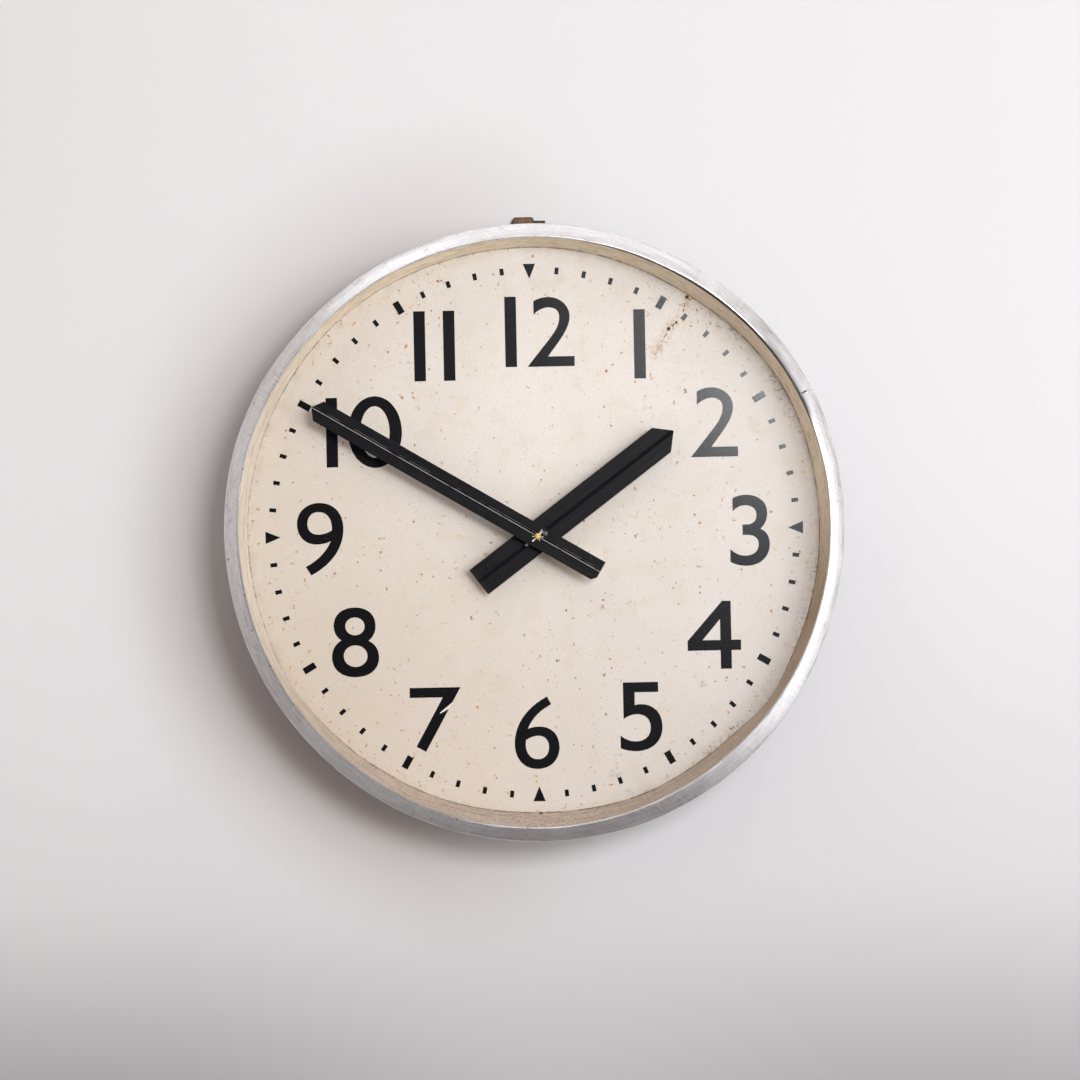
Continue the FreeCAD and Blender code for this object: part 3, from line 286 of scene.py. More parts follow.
def dial_cream(where):
    """Aged cream paint: mottling, stains, rust specks in three sizes, a rusty crack, smudges, rim dirt, and
    painted shade to the lower left, the right and the right rim.
    """
    x, _, z = where.axes()
    radius = length(x, z)
    mottle = where.noise(9.0, 5.0, 0.6).rise(0.35, 0.68)
    blotch = where.noise(42.0, 5.0, 0.65).rise(0.48, 0.76)
    fine = where.noise(700.0, 3.0, 0.65)
    cream = mottle.colour(rgb(237, 230, 223), rgb(231, 223, 213))
    # Painted shade: the cream darker and yellower towards the bottom and the left, away from the light, and
    # greyer towards the right
    shaded_low_left = z.rise(0.16, -0.28) * 0.75 + x.rise(0.02, -0.27) * 0.5
    low_left_shade = x.rise(-0.10, 0.15).colour(rgb(215, 200, 183), rgb(207, 197, 188))
    cream = (shaded_low_left.least(1.2) * 0.7).colour(cream, low_left_shade)
    cream = (x.rise(0.0, 0.25) * 0.45).colour(cream, rgb(224, 219, 216))
    cream = (blotch * 0.36).colour(cream, rgb(216, 198, 170))
    cream = (fine.rise(0.50, 0.78) * 0.45).colour(cream, rgb(206, 189, 164))
    corner = patch(x, z, RUSTIER_AT, RUSTIER_SIZE)
    spread = where.noise(14.0, 3.0, 0.6).rise(0.40, 0.68) * 0.8 + corner * 0.7
    spread = (spread + radius.rise(0.285, 0.306) * 0.4).least(1.0)
    halo = where.specks(90.0, 0.30, 0.40) * spread
    small = (where.noise(400.0, 3.0, 0.7) + spread * 0.042).rise(0.664, 0.684)
    middle = (where.noise(160.0, 4.0, 0.7) + spread * 0.034).rise(0.664, 0.678)
    burnt = where.noise(60.0, 2.0, 0.5).rise(0.46, 0.60)
    large = where.specks(42.0, 0.085, 0.20)
    stained = (halo * 0.20).colour(cream, rgb(216, 176, 120))
    speckled = (small * 0.8).colour(stained, burnt.colour(rgb(208, 160, 76), rgb(174, 104, 40)))
    speckled = (middle * 0.9).colour(speckled, burnt.colour(rgb(200, 138, 48), rgb(146, 82, 30)))
    speckled = (large * 0.9).colour(speckled, rgb(118, 78, 46))
    wander = (where.noise(200.0, 3.0, 0.6) - 0.5) * 5.0 * MM
    crack = segment(x, z, CRACK[0], CRACK[1])
    for start, end in zip(CRACK[1:], CRACK[2:]):
        crack = crack.least(segment(x, z, start, end))
    crack = (crack + wander).math("ABSOLUTE")
    broken = where.noise(420.0, 2.0, 0.5).rise(0.50, 0.56)
    chips = patches(x, z, CHIPS).rise(0.35, 0.6)
    trail = (crack.rise(1.0 * MM, 0.3 * MM) * broken + chips).least(1.0)
    seep = crack.rise(9.0 * MM, 0.0) * where.noise(260.0, 3.0, 0.7).rise(0.42, 0.66) * 0.7
    scuff = patches(x, z, SCUFFS) * where.noise(260.0, 4.0, 0.7).rise(0.40, 0.62)
    grime = radius.rise(0.290, 0.309) * where.noise(60.0, 5.0, 0.7).rise(0.25, 0.75)
    # Dark brown streaks by the rim on the right: stains, and painted shadow of the rim on the dial
    stain_and_shadow = radius.rise(0.290, 0.306) * where.noise(230.0, 5.0, 0.75).rise(0.52, 0.64) * x.rise(0.06, 0.18)
    stain_and_shadow = stain_and_shadow * where.noise(26.0, 3.0, 0.6).rise(0.38, 0.60)
    hair = where.noise(30.0, 3.0, 0.6) * 0.02 + x * 0.4 + z
    lines = (hair * 160.0).math("SINE").rise(0.9990, 1.0) * where.noise(20.0, 3.0, 0.6).rise(0.60, 0.70)
    shown = seep.colour(speckled, rgb(190, 142, 88))
    shown = trail.colour(shown, rgb(70, 52, 40))
    shown = (scuff * 0.75).colour(shown, rgb(140, 138, 132))
    shown = (grime * 0.30).colour(shown, rgb(176, 154, 128))
    shown = (stain_and_shadow * 0.75).colour(shown, rgb(126, 98, 70))
    shown = (lines * 0.35).colour(shown, rgb(186, 168, 146))
    bits = small * 0.4 + middle * 0.8 + large + trail
    return {"Base Color": shown, "Roughness": 0.62 + 0.2 * bits.least(1.0) - 0.08 * blotch,
            "height": fine * 0.2 + mottle * 0.5 - bits * 0.8, "depth": 0.06 * MM}


# The scraped place on the seven, from its narrow end to its wide one, in millimetres
SEVEN_SCRAPE = ((-104.5, -191.6), (-91.0, -182.6))


def numeral_black(where):
    """Glossy black paint: faint brush marks, small chips and one scraped place on the seven."""
    x, _, z = where.axes()
    peel = where.noise(420.0, 3.0, 0.6)
    dust_and_shade = where.specks(420.0, 0.20, 0.12)
    chips = where.specks(95.0, 0.12, 0.10)
    ragged = (where.noise(600.0, 2.0, 0.6) - 0.5) * 0.9 * MM
    widening = (x - SEVEN_SCRAPE[0][0] * MM) * 0.11
    scrape = (segment(x, z, *SEVEN_SCRAPE) + ragged - widening).rise(0.8 * MM, 0.4 * MM)
    black = where.noise(60.0, 3.0, 0.6).colour((0.0042, 0.0044, 0.0058, 1), (0.0066, 0.0069, 0.0088, 1))
    shown = (dust_and_shade * 0.35).colour(black, rgb(120, 112, 102))
    shown = chips.colour(shown, rgb(140, 104, 70))
    shown = scrape.colour(shown, rgb(233, 227, 221))
    return {"Base Color": shown, "Roughness": 0.20 + 0.06 * peel + 0.3 * scrape.most(chips),
            "height": peel, "depth": 0.012 * MM}


# Marks on the strip, in millimetres: the depth of its painted crease shade, and a notch at its foot, painted
# as shade
CREASE_DEPTH = 72.0
NOTCH_AT = (1.0, -300.5)
NOTCH_SIZE = 3.0


def strip_fibre(where):
    """Bare fibre board: grain, dark fibres round the rim and soot, painted light at the top and lower left,
    and painted shadow at the foot, seam, crease, notch and head.
    """
    x, y, z = where.axes()
    grain = round_the_dial(where, 14.0, 380.0, 1.0).noise(1.0, 4.0, 0.65)
    tone = grain.rise(0.28, 0.72)
    bands = round_the_dial(where, 7.0, 140.0, 1.0).noise(1.0, 3.0, 0.6)
    threads = round_the_dial(where, 18.0, 520.0, 1.0).noise(1.0, 3.0, 0.6).rise(0.54, 0.68)
    stain = where.noise(16.0, 4.0, 0.65).rise(0.40, 0.72)
    # Painted light: the board much lighter at the top, and paler on the lower left where it faces the light,
    # darker towards the bottom of that side
    upper = z.rise(-0.12, 0.09)
    pale = (x * 0.6 + z * 0.8).rise(0.16, -0.14)
    depth = y * -1.0
    brown = upper.colour(tone.colour(rgb(144, 122, 96), rgb(174, 152, 128)),
                         tone.colour(rgb(247, 227, 200), rgb(255, 243, 221)))
    brown = (bands.rise(0.40, 0.70) * 0.30).colour(brown, rgb(218, 196, 166))
    lit_side_board = z.rise(-0.24, -0.04).colour(tone.colour(rgb(174, 159, 147), rgb(198, 184, 173)),
                                        tone.colour(rgb(210, 198, 183), rgb(232, 222, 209)))
    board = (pale * 0.85).colour(brown, lit_side_board)
    board = (threads * (0.55 - 0.3 * pale)).colour(board, rgb(104, 82, 60))
    board = (stain * 0.16).colour(board, rgb(170, 148, 124))
    darkened = z.rise(-0.16, -0.30) * where.noise(330.0, 4.0, 0.75).rise(0.48, 0.66)
    board = (darkened * 0.6).colour(board, rgb(122, 106, 92))
    # Painted shadow along the foot by the dial, weaker on the lit lower left
    low = depth.rise((DIAL_FRONT + 7.0) * MM, DIAL_FRONT * MM) * where.noise(90.0, 4.0, 0.7)
    board = (low * (0.5 - 0.3 * pale)).colour(board, rgb(128, 104, 80))
    # Painted shadow in the seam between the strip's foot and the dial
    seam_shadow = depth.rise((DIAL_FRONT + 4.5) * MM, (DIAL_FRONT + 1.5) * MM)
    seam_shadow = seam_shadow * where.noise(120.0, 3.0, 0.7).rise(0.40, 0.58)
    board = (seam_shadow * 0.65).colour(board, rgb(84, 66, 50))
    # Painted shade of a wavering crease on the lit lower left
    angle = x.math("ARCTAN2", z)
    wave = (angle * 9.0).math("SINE") * 5.0 + (angle * 23.0).math("SINE") * 2.0
    crease_shade = (depth - (wave + CREASE_DEPTH) * MM).math("ABSOLUTE").rise(1.1 * MM, 0.3 * MM) * pale
    board = (crease_shade * 0.45).colour(board, rgb(138, 120, 104))
    # Painted shade of a notch in the foot, at the bottom
    notch_shade = patch(x, z, NOTCH_AT, NOTCH_SIZE).rise(0.1, 0.5)
    board = (notch_shade * 0.8).colour(board, rgb(60, 48, 40))
    # Painted shadow at the head, in the gap behind the bezel's lip, weaker on the lit lower left
    head_shadow = depth.rise((STRIP_TOP - 1.2) * MM, (STRIP_TOP - 0.2) * MM)
    head_shadow = head_shadow * (0.85 - 0.75 * pale)
    return {"Base Color": head_shadow.colour(board, rgb(74, 58, 46)), "Roughness": 0.82 - 0.1 * bands,
            "height": grain + threads * 0.6, "depth": 0.15 * MM}


# Marks on the hands, in millimetres from the hand axis
GROOVE_EDGE = 2.3
GROOVE_FLAT = 1.5
TAIL_END = 76.0
MINUTE_FACE = 78.5
LIGHT_PATCH_AT = (8.4, 3.0)
LIGHT_PATCH_SIZE = 3.4
GLINT_AT = (-12.0, -9.0)
GLINT_SIZE = 2.4

# Strokes scraped bare round the hand nut: angle, reach from the hand axis and half width
SCRAPES = ((33, 8.3, 0.45), (48, 7.7, 0.35), (228, 7.4, 0.75),
           (272, 5.6, 0.45), (98, 5.6, 0.45), (160, 4.8, 0.35))


def scrapes(x, z):
    """1 inside a bare stroke round the hand nut and 0 outside, from a place about the hand axis."""
    shown = 0.0
    for turn, reach, half in SCRAPES:
        end = (reach * math.sin(math.radians(turn)), reach * math.cos(math.radians(turn)))
        shown = segment(x, z, (0, 0), end).rise(1.3 * half * MM, 0.7 * half * MM) + shown
    return shown.least(1.0)


def hand_black(turn, painted_highlight):
    """Satin black paint on one hand: brushing, dust, scrapes by the nut, a light patch, painted shade in the
    groove, painted highlights along it and a painted glint.
    """
    side, ahead = math.cos(math.radians(turn)), math.sin(math.radians(turn))

    def build(where):
        x, y, z = where.axes()
        x = x - ARBOR[0] * MM
        z = z - ARBOR[1] * MM
        along = x * ahead + z * side
        across = x * side - z * ahead
        drawn = where.place(along * 22.0, y * 300.0, across * 900.0).noise(1.0, 4.0, 0.6)
        streaks = where.place(along * 9.0, 0.0, across * 1100.0).noise(1.0, 3.0, 0.65).rise(0.52, 0.70)
        cloud = where.noise(36.0, 4.0, 0.65).rise(0.36, 0.70)
        dust_and_shade = where.specks(260.0, 0.13, 0.13) * where.noise(40.0, 2.0, 0.5).rise(0.45, 0.62)
        lint = where.specks(70.0, 0.05, 0.16)
        uneven = where.place(along * 60.0, 0.0, across * 200.0).noise(1.0, 3.0, 0.6)
        # Painted shade in the groove, and painted highlights along the groove's middle, its upper edge and the
        # end of the tail
        groove = across.math("ABSOLUTE").rise(GROOVE_EDGE * MM, GROOVE_FLAT * MM)
        lower = across.math("ABSOLUTE").rise(0.55 * MM, 0.30 * MM) * uneven.rise(0.30, 0.50)
        upper = (across - GROOVE_EDGE * MM).math("ABSOLUTE").rise(0.40 * MM, 0.10 * MM)
        upper = upper * uneven.rise(0.40, 0.60)
        tail_end = along.rise((0.3 - TAIL_END) * MM, (-0.3 - TAIL_END) * MM)
        ragged = (where.noise(900.0, 2.0, 0.6) - 0.5) * 0.8 * MM
        on_top = (y * -1.0).rise((MINUTE_FACE - 0.3) * MM, MINUTE_FACE * MM)
        bare = scrapes(x + ragged, z + ragged) * on_top
        # A light grey patch on the minute hand beside the nut
        light_patch = patch(x, z, LIGHT_PATCH_AT, LIGHT_PATCH_SIZE) * where.noise(500.0, 3.0, 0.7).rise(0.35, 0.58) * on_top
        # Painted glint in the groove of the hour hand's tail
        glint = patch(x, z, GLINT_AT, GLINT_SIZE).rise(0.2, 0.5)
        black = cloud.colour((0.0050, 0.0045, 0.0058, 1), (0.0084, 0.0076, 0.0092, 1))
        black = (streaks * 0.5).colour(black, (0.032, 0.030, 0.034, 1))
        black = (groove * 0.9).colour(black, (0.0006, 0.0006, 0.0007, 1))
        shown = (lower.most(tail_end * 0.6) * painted_highlight).colour(black, rgb(200, 197, 193))
        shown = (upper * painted_highlight).colour(shown, rgb(128, 126, 124))
        shown = (dust_and_shade * 0.5).colour(shown, rgb(122, 116, 108))
        shown = (lint * 0.8).colour(shown, rgb(196, 192, 186))
        shown = (light_patch * 0.8).colour(shown, rgb(176, 172, 166))
        shown = bare.most(glint).colour(shown, rgb(226, 222, 216))
        rough = 0.36 + 0.12 * cloud + 0.10 * drawn + 0.2 * dust_and_shade + 0.3 * groove
        return {"Base Color": shown, "Roughness": rough, "Metallic": bare * 0.3,
                "height": drawn * 0.6 + dust_and_shade * 0.8 - bare * 0.5, "depth": 0.025 * MM}
    return build


# Finishes of the case, the fittings and the movement
def drum_enamel(where):
    """Black stove enamel: orange peel, dust, and bare rusty steel worn through at the rear edge."""
    x, y, z = where.axes()
    radius = length(x, z)
    peel = where.noise(260.0, 3.0, 0.55)
    cloud = where.noise(12.0, 5.0, 0.65).rise(0.35, 0.70)
    edge = radius.rise(0.3195, 0.3246) * (y * -1.0).rise(4.6 * MM, 0.6 * MM)
    worn = (edge * 1.2 + where.noise(46.0, 5.0, 0.7) - 1.0).rise(0.42, 0.56)
    chips = where.specks(34.0, 0.085, 0.16)
    rust = where.noise(130.0, 5.0, 0.7).colour(rgb(92, 58, 38), rgb(148, 98, 62))
    paint = cloud.colour((0.020, 0.021, 0.022, 1), (0.036, 0.037, 0.037, 1))
    dusty = (where.noise(480.0, 3.0, 0.7).rise(0.52, 0.80) * 0.30).colour(paint, rgb(124, 118, 108))
    bare = worn.most(chips)
    return {"Base Color": bare.colour(dusty, rust), "Roughness": 0.40 + 0.14 * cloud + 0.35 * bare,
            "height": peel * 0.6 - bare, "depth": 0.05 * MM}


def hanger_rust(where):
    """Rusted mild steel: brown skin, orange bloom, dark pits, a few rubbed places and edges darker than the
    middle.
    """
    x, _, z = where.axes()
    skin = where.noise(120.0, 6.0, 0.72)
    bloom = where.noise(48.0, 5.0, 0.68).rise(0.46, 0.66)
    pits = where.specks(700.0, 0.34, 0.40)
    rubbed = where.noise(85.0, 4.0, 0.6).rise(0.62, 0.72)
    brown = skin.rise(0.3, 0.7).colour(rgb(92, 70, 55), rgb(138, 108, 84))
    brown = (bloom * 0.55).colour(brown, rgb(146, 96, 56))
    brown = (pits * 0.7).colour(brown, rgb(60, 44, 36))
    brown = (rubbed * 0.5).colour(brown, rgb(150, 140, 130))
    # The tab is darker within a little of its edges
    inside = (x - TAB_LEFT * MM).least(TAB_RIGHT * MM - x).least(TAB_TOP * MM - z)
    darkened = inside.rise(1.9 * MM, 0.7 * MM)
    return {"Base Color": (darkened * 0.8).colour(brown, rgb(52, 42, 38)), "Roughness": 0.80 - 0.25 * rubbed,
            "Metallic": 0.15 + 0.5 * rubbed, "height": skin - pits * 0.6, "depth": 0.20 * MM}


def zinc_dull(where):
    """Dull plated fixings with tarnish and a little white bloom."""
    cloud = where.noise(190.0, 4.0, 0.65)
    bloom = where.noise(520.0, 4.0, 0.7).rise(0.55, 0.72)
    metal = cloud.rise(0.3, 0.7).colour((0.42, 0.41, 0.39, 1), (0.60, 0.59, 0.57, 1))
    return {"Base Color": (bloom * 0.4).colour(metal, (0.62, 0.60, 0.56, 1)),
            "Roughness": 0.34 + 0.25 * bloom, "height": cloud, "depth": 0.03 * MM}


def brass_worn(where):
    """Brass: turned lines, brown tarnish in clouds and bright rubbed places."""
    x, y, z = where.axes()
    lines = where.place(x * 60.0, y * 2600.0, z * 60.0).noise(1.0, 2.0, 0.5)
    tarnish = where.noise(95.0, 5.0, 0.65).rise(0.40, 0.68)
    bright = lines.rise(0.3, 0.7).colour((0.72, 0.50, 0.17, 1), (0.83, 0.61, 0.25, 1))
    return {"Base Color": (tarnish * 0.5).colour(bright, (0.36, 0.21, 0.07, 1)),
            "Roughness": 0.24 + 0.22 * tarnish + 0.08 * lines, "height": lines, "depth": 0.02 * MM}


def nut_brass(where):
    """Matt gilt brass of the hand nut."""
    cloud = where.noise(900.0, 3.0, 0.6)
    return {"Base Color": cloud.rise(0.35, 0.65).colour((0.78, 0.50, 0.10, 1), (0.98, 0.78, 0.30, 1)),
            "Roughness": 0.48 + 0.15 * cloud, "height": cloud, "depth": 0.05 * MM}


def steel_ground(where):
    """Ground steel with fine lines and a few brown spots."""
    x, y, z = where.axes()
    lines = where.place(x * 900.0, y * 90.0, z * 900.0).noise(1.0, 2.0, 0.5)
    spots = where.specks(420.0, 0.22, 0.14)
    metal = lines.rise(0.3, 0.7).colour((0.50, 0.50, 0.51, 1), (0.66, 0.66, 0.67, 1))
    return {"Base Color": (spots * 0.7).colour(metal, (0.25, 0.15, 0.08, 1)),
            "Roughness": 0.24 + 0.12 * lines, "height": lines, "depth": 0.015 * MM}


def iron_oiled(where):
    """Soft iron, dark and oily, with brown patches."""
    cloud = where.noise(150.0, 5.0, 0.68)
    brown = where.noise(60.0, 4.0, 0.6).rise(0.52, 0.70)
    metal = cloud.rise(0.3, 0.7).colour((0.16, 0.16, 0.17, 1), (0.28, 0.28, 0.29, 1))
    return {"Base Color": (brown * 0.5).colour(metal, (0.17, 0.10, 0.06, 1)),
            "Roughness": 0.42 + 0.2 * cloud, "height": cloud, "depth": 0.05 * MM}


# From turn to turn of the winding, in millimetres
WIRE_PITCH = 0.45


def winding_copper(where):
    """Enamelled copper wire wound in close level turns, with painted shade between the turns."""
    z = where.axes()[2]
    turns = (z * (2.0 * math.pi / (WIRE_PITCH * MM))).math("SINE")
    cloud = where.noise(160.0, 3.0, 0.6)
    wire = cloud.colour((0.40, 0.15, 0.06, 1), (0.56, 0.25, 0.11, 1))
    # Painted shade in the valleys between the turns
    return {"Base Color": (turns.rise(-0.2, -1.0) * 0.7).colour(wire, (0.10, 0.035, 0.015, 1)),
            "Roughness": 0.30 + 0.1 * cloud, "height": turns, "depth": 0.10 * MM}


def moulded_brown(where):
    """Moulded brown insulation with a mottled, slightly polished skin."""
    cloud = where.noise(110.0, 5.0, 0.7)
    swirl = where.noise(38.0, 3.0, 0.6).rise(0.42, 0.66)
    skin = cloud.rise(0.3, 0.7).colour((0.035, 0.016, 0.010, 1), (0.085, 0.040, 0.024, 1))
    return {"Base Color": (swirl * 0.35).colour(skin, (0.12, 0.055, 0.03, 1)),
            "Roughness": 0.26 + 0.16 * cloud, "height": cloud, "depth": 0.02 * MM}


def lead_sleeve(where):
    """Woven cotton sleeve of the coil leads, in faded red."""
    x, y, z = where.axes()
    weave = ((z - y) * 5200.0).math("SINE") * ((z + y + x) * 5200.0).math("SINE")
    fade = where.noise(120.0, 4.0, 0.6)
    cotton = fade.colour((0.30, 0.035, 0.030, 1), (0.44, 0.085, 0.060, 1))
    return {"Base Color": (weave.rise(-0.3, 0.8) * 0.35).colour(cotton, (0.52, 0.17, 0.12, 1)),
            "Roughness": 0.86 - 0.08 * fade, "height": weave, "depth": 0.08 * MM}


def bush_rubber(where):
    """Perished black rubber with a grey bloom."""
    bloom = where.noise(180.0, 5.0, 0.7).rise(0.45, 0.72)
    cracks = where.cells(420.0).rise(0.06, 0.0)
    black = (bloom * 0.6).colour((0.018, 0.018, 0.018, 1), (0.075, 0.072, 0.068, 1))
    return {"Base Color": (cracks * 0.5).colour(black, (0.008, 0.008, 0.008, 1)),
            "Roughness": 0.72 + 0.14 * bloom, "height": bloom - cracks, "depth": 0.06 * MM}


ALL_METAL = {"Metallic": 1.0}
finishes = {
    "bezel_aluminium": finish("bezel_aluminium", bezel_aluminium, **ALL_METAL),
    "dial_cream": finish("dial_cream", dial_cream, Specular_IOR_Level=0.25),
    "dial_black": finish("numeral_black", numeral_black),
    "strip_fibre": finish("strip_fibre", strip_fibre, Specular_IOR_Level=0.2),
    "case_paint": finish("drum_enamel", drum_enamel),
    "hanger_steel": finish("hanger_rust", hanger_rust),
    "fixing_steel": finish("zinc_dull", zinc_dull, **ALL_METAL),
    "brass": finish("brass_worn", brass_worn, **ALL_METAL),
    "bright_steel": finish("steel_ground", steel_ground, **ALL_METAL),
    "soft_iron": finish("iron_oiled", iron_oiled, **ALL_METAL),
    "winding": finish("winding_copper", winding_copper, Metallic=0.6),
    "bobbin": finish("moulded_brown", moulded_brown),
    "lead_cover": finish("lead_sleeve", lead_sleeve),
    "bush_rubber": finish("bush_rubber", bush_rubber),
}
finishes["bakelite"] = finishes["bobbin"]
hour_black = finish("hour_hand_black", hand_black(HOUR_AT, 0.02), Specular_IOR_Level=0.15)
minute_black = finish("minute_hand_black", hand_black(MINUTE_AT, 0.7), Specular_IOR_Level=0.15)
# Painted shade: the joint plate takes the black enamel, so that it shows dark through the bezel's joint
own_finish = {"hour_hand": hour_black, "hour_rivets": finishes["dial_black"],
              "minute_hand": minute_black, "minute_rivets": finishes["dial_black"],
              "hand_nut": finish("nut_brass", nut_brass, Metallic=0.6), "joint_plate": finishes["case_paint"]}


def paint_node(name, material):
    """Give a CAD node its finish in all its material slots."""
    piece = nodes[name]
    if not piece.material_slots:
        piece.data.materials.append(material)
    for slot in piece.material_slots:
        slot.material = material


for part in frame["record"]["subparts"]:
    chosen = own_finish.get(part["node"]) or finishes[part["material_slot"]]
    paint_node(part["node"], chosen)


# New pieces: the worn bezel and the strip, which are no longer round

# Edges that turn by more than this, in degrees, stay crisp
SHARP = 32.0


def ring_mesh(name, angles, radius, depth, material):
    """Section carried round the dial from end to end: angles, radius and depth have a row for each step.

    A point is at x = radius * sin(angle), y = -depth, z = radius * cos(angle). Both ends get a face.
    """
    turn = np.radians(angles)
    points = np.stack([radius * np.sin(turn), -depth, radius * np.cos(turn)], axis=-1) * MM
    steps, section = radius.shape
    row = np.arange(steps - 1)[:, None]
    col = np.arange(section)[None, :]
    next_col = (col + 1) % section
    corners = [row * section + col, row * section + next_col,
               (row + 1) * section + next_col, (row + 1) * section + col]
    quads = np.stack([np.broadcast_to(c, (len(row), section)) for c in corners], axis=-1).reshape(-1, 4)
    faces = quads[:, ::-1].tolist()
    faces.append(list(range(section)))
    faces.append(list(range((steps - 1) * section, steps * section))[::-1])
    mesh = bpy.data.meshes.new(name)
    mesh.from_pydata(points.reshape(-1, 3).tolist(), [], faces)
    mesh.polygons.foreach_set("use_smooth", np.ones(len(faces), dtype=bool))
    mesh.set_sharp_from_angle(angle=math.radians(SHARP))
    mesh.materials.append(material)
    mesh.update()
    piece = bpy.data.objects.new(name, mesh)
    bpy.context.scene.collection.objects.link(piece)
    return piece


def rounded(corners, steps=6):
    """Outline from corners and their radii: an arc that touches both sides of each corner, in equal turns."""
    points = np.array(corners)[:, :2]
    radii = np.array(corners)[:, 2]
    line = []
    for here, before, after, radius in zip(points, np.roll(points, 1, 0), np.roll(points, -1, 0), radii):
        to_before = (before - here) / np.linalg.norm(before - here)
        to_after = (after - here) / np.linalg.norm(after - here)
        half = np.arccos(np.clip(np.dot(to_before, to_after), -1, 1)) / 2.0
        middle = (to_before + to_after) / np.linalg.norm(to_before + to_after)
        centre = here + middle * radius / np.sin(half)
        first = here + to_before * radius / np.tan(half) - centre
        last = here + to_after * radius / np.tan(half) - centre
        share = np.linspace(0.0, 1.0, steps)[:, None]
        turn = (math.pi / 2 - half) * 2
        arc = first * np.sin((1 - share) * turn) + last * np.sin(share * turn)
        line.append(centre + arc / np.sin(turn))
    return np.concatenate(line)


def humps(angles, places):
    """Sum of smooth bells round the dial, each given as a height, the angle of its middle and a width."""
    total = np.zeros(len(angles))
    for height, centre, width in places:
        off = (angles - centre + 180.0) % 360.0 - 180.0
        total = total + height * np.exp(-((off / width) ** 2))
    return total


def waves(angles, times, shift=0.0):
    """Sine that goes round the dial a number of times."""
    return np.sin(np.radians(angles * times + shift))


# Section of the bezel in millimetres: each corner has a radius, a depth in front of the wall and a rounding
BEZEL_R = 328.0
BEZEL_IN = 325.5
LIP_R = 312.2
LIP_IN = 314.7
SKIRT_REAR = 60.0
SHOULDER = 86.0
LIP_REAR = 90.0
LIP_TOP = 94.27
bezel_section = rounded([
    (BEZEL_R, SKIRT_REAR, 0.3), (BEZEL_R, SHOULDER, 2.6), (320.6, 91.35, 66.0), (LIP_R, 94.9, 1.1),
    (LIP_R, LIP_REAR, 0.3), (LIP_IN, LIP_REAR, 0.3), (LIP_IN, 90.70, 0.8), (BEZEL_IN, 84.55, 0.8),
    (BEZEL_IN, SKIRT_REAR, 0.3)])
bezel_section[:, 1] = np.minimum(bezel_section[:, 1], LIP_TOP)
section_r = bezel_section[:, 0]
section_depth = bezel_section[:, 1]

# Butt joint: nearly closed at the lip and open from a given radius outward
GAP_INSIDE = 0.08
GAP_OUTSIDE = 0.85
GAP_FROM = 318.5
GAP_WIDENS = 2.5
BEZEL_STEPS = 1200
opening = np.clip((section_r - GAP_FROM) / GAP_WIDENS, 0.0, 1.0)
half_gap = np.degrees((GAP_INSIDE + (GAP_OUTSIDE - GAP_INSIDE) * opening) / BEZEL_R)
bezel_turns = np.linspace(JOINT_AT + half_gap, JOINT_AT + 360.0 - half_gap, BEZEL_STEPS)
bezel_angles = bezel_turns.mean(axis=1)

# How the bezel is out of round, in millimetres: sprung in front, dented at its edge, flared on its outside.
# SPARE keeps it inside the box of the CAD model.
SPRUNG = ((4.2, JOINT_AT - 4.0, 26.0), (2.6, 291.0, 24.0), (-0.4, 235.0, 30.0), (0.5, JOINT_AT + 2.5, 2.5))
DENTS = ((0.8, 109.0, 0.7), (0.5, 222.0, 0.9))
FLARED = ((2.6, 146.0, 25.0), (-0.8, 315.0, 9.0))
SPARE = 0.02
ripple = 0.16 * waves(bezel_angles, 9.0, 40.0) + 0.10 * waves(bezel_angles, 23.0)
sprung = humps(bezel_angles, SPRUNG) + ripple
forward = np.clip((section_depth - SKIRT_REAR) / (SHOULDER - SKIRT_REAR), 0.0, 1.0)
front_edge = np.clip(1.0 - np.abs(section_r - BEZEL_R + 2.0) / 4.0, 0.0, 1.0) * (forward > 0.9)
outer_share = np.clip((section_r - LIP_R) / (BEZEL_R - LIP_R), 0.0, 1.0)
bezel_radius = section_r[None, :] + sprung[:, None] * forward ** 1.4
bezel_radius = bezel_radius - humps(bezel_angles, DENTS)[:, None] * front_edge
bezel_radius = bezel_radius + humps(bezel_angles, FLARED)[:, None] * outer_share * forward
upright = np.maximum(np.abs(np.cos(np.radians(bezel_angles))), 0.5)
bezel_radius = np.minimum(bezel_radius, ((BEZEL_R - SPARE) / upright)[:, None])
bezel_depth = np.tile(section_depth, (BEZEL_STEPS, 1))
bezel = ring_mesh("worn_bezel", bezel_turns, bezel_radius, bezel_depth, finishes["bezel_aluminium"])

# Mark on the mesh that tells the finish how near the lip's inner edge a point is
LIP_WIDE = 1.9
lip_share = np.clip((LIP_R + LIP_WIDE - section_r) / LIP_WIDE, 0.0, 1.0)
lip_mark = bezel.data.attributes.new("lip", "FLOAT", "POINT")
lip_mark.data.foreach_set("value", np.tile(lip_share, BEZEL_STEPS))
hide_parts("bezel_ring")
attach(bezel, "case")

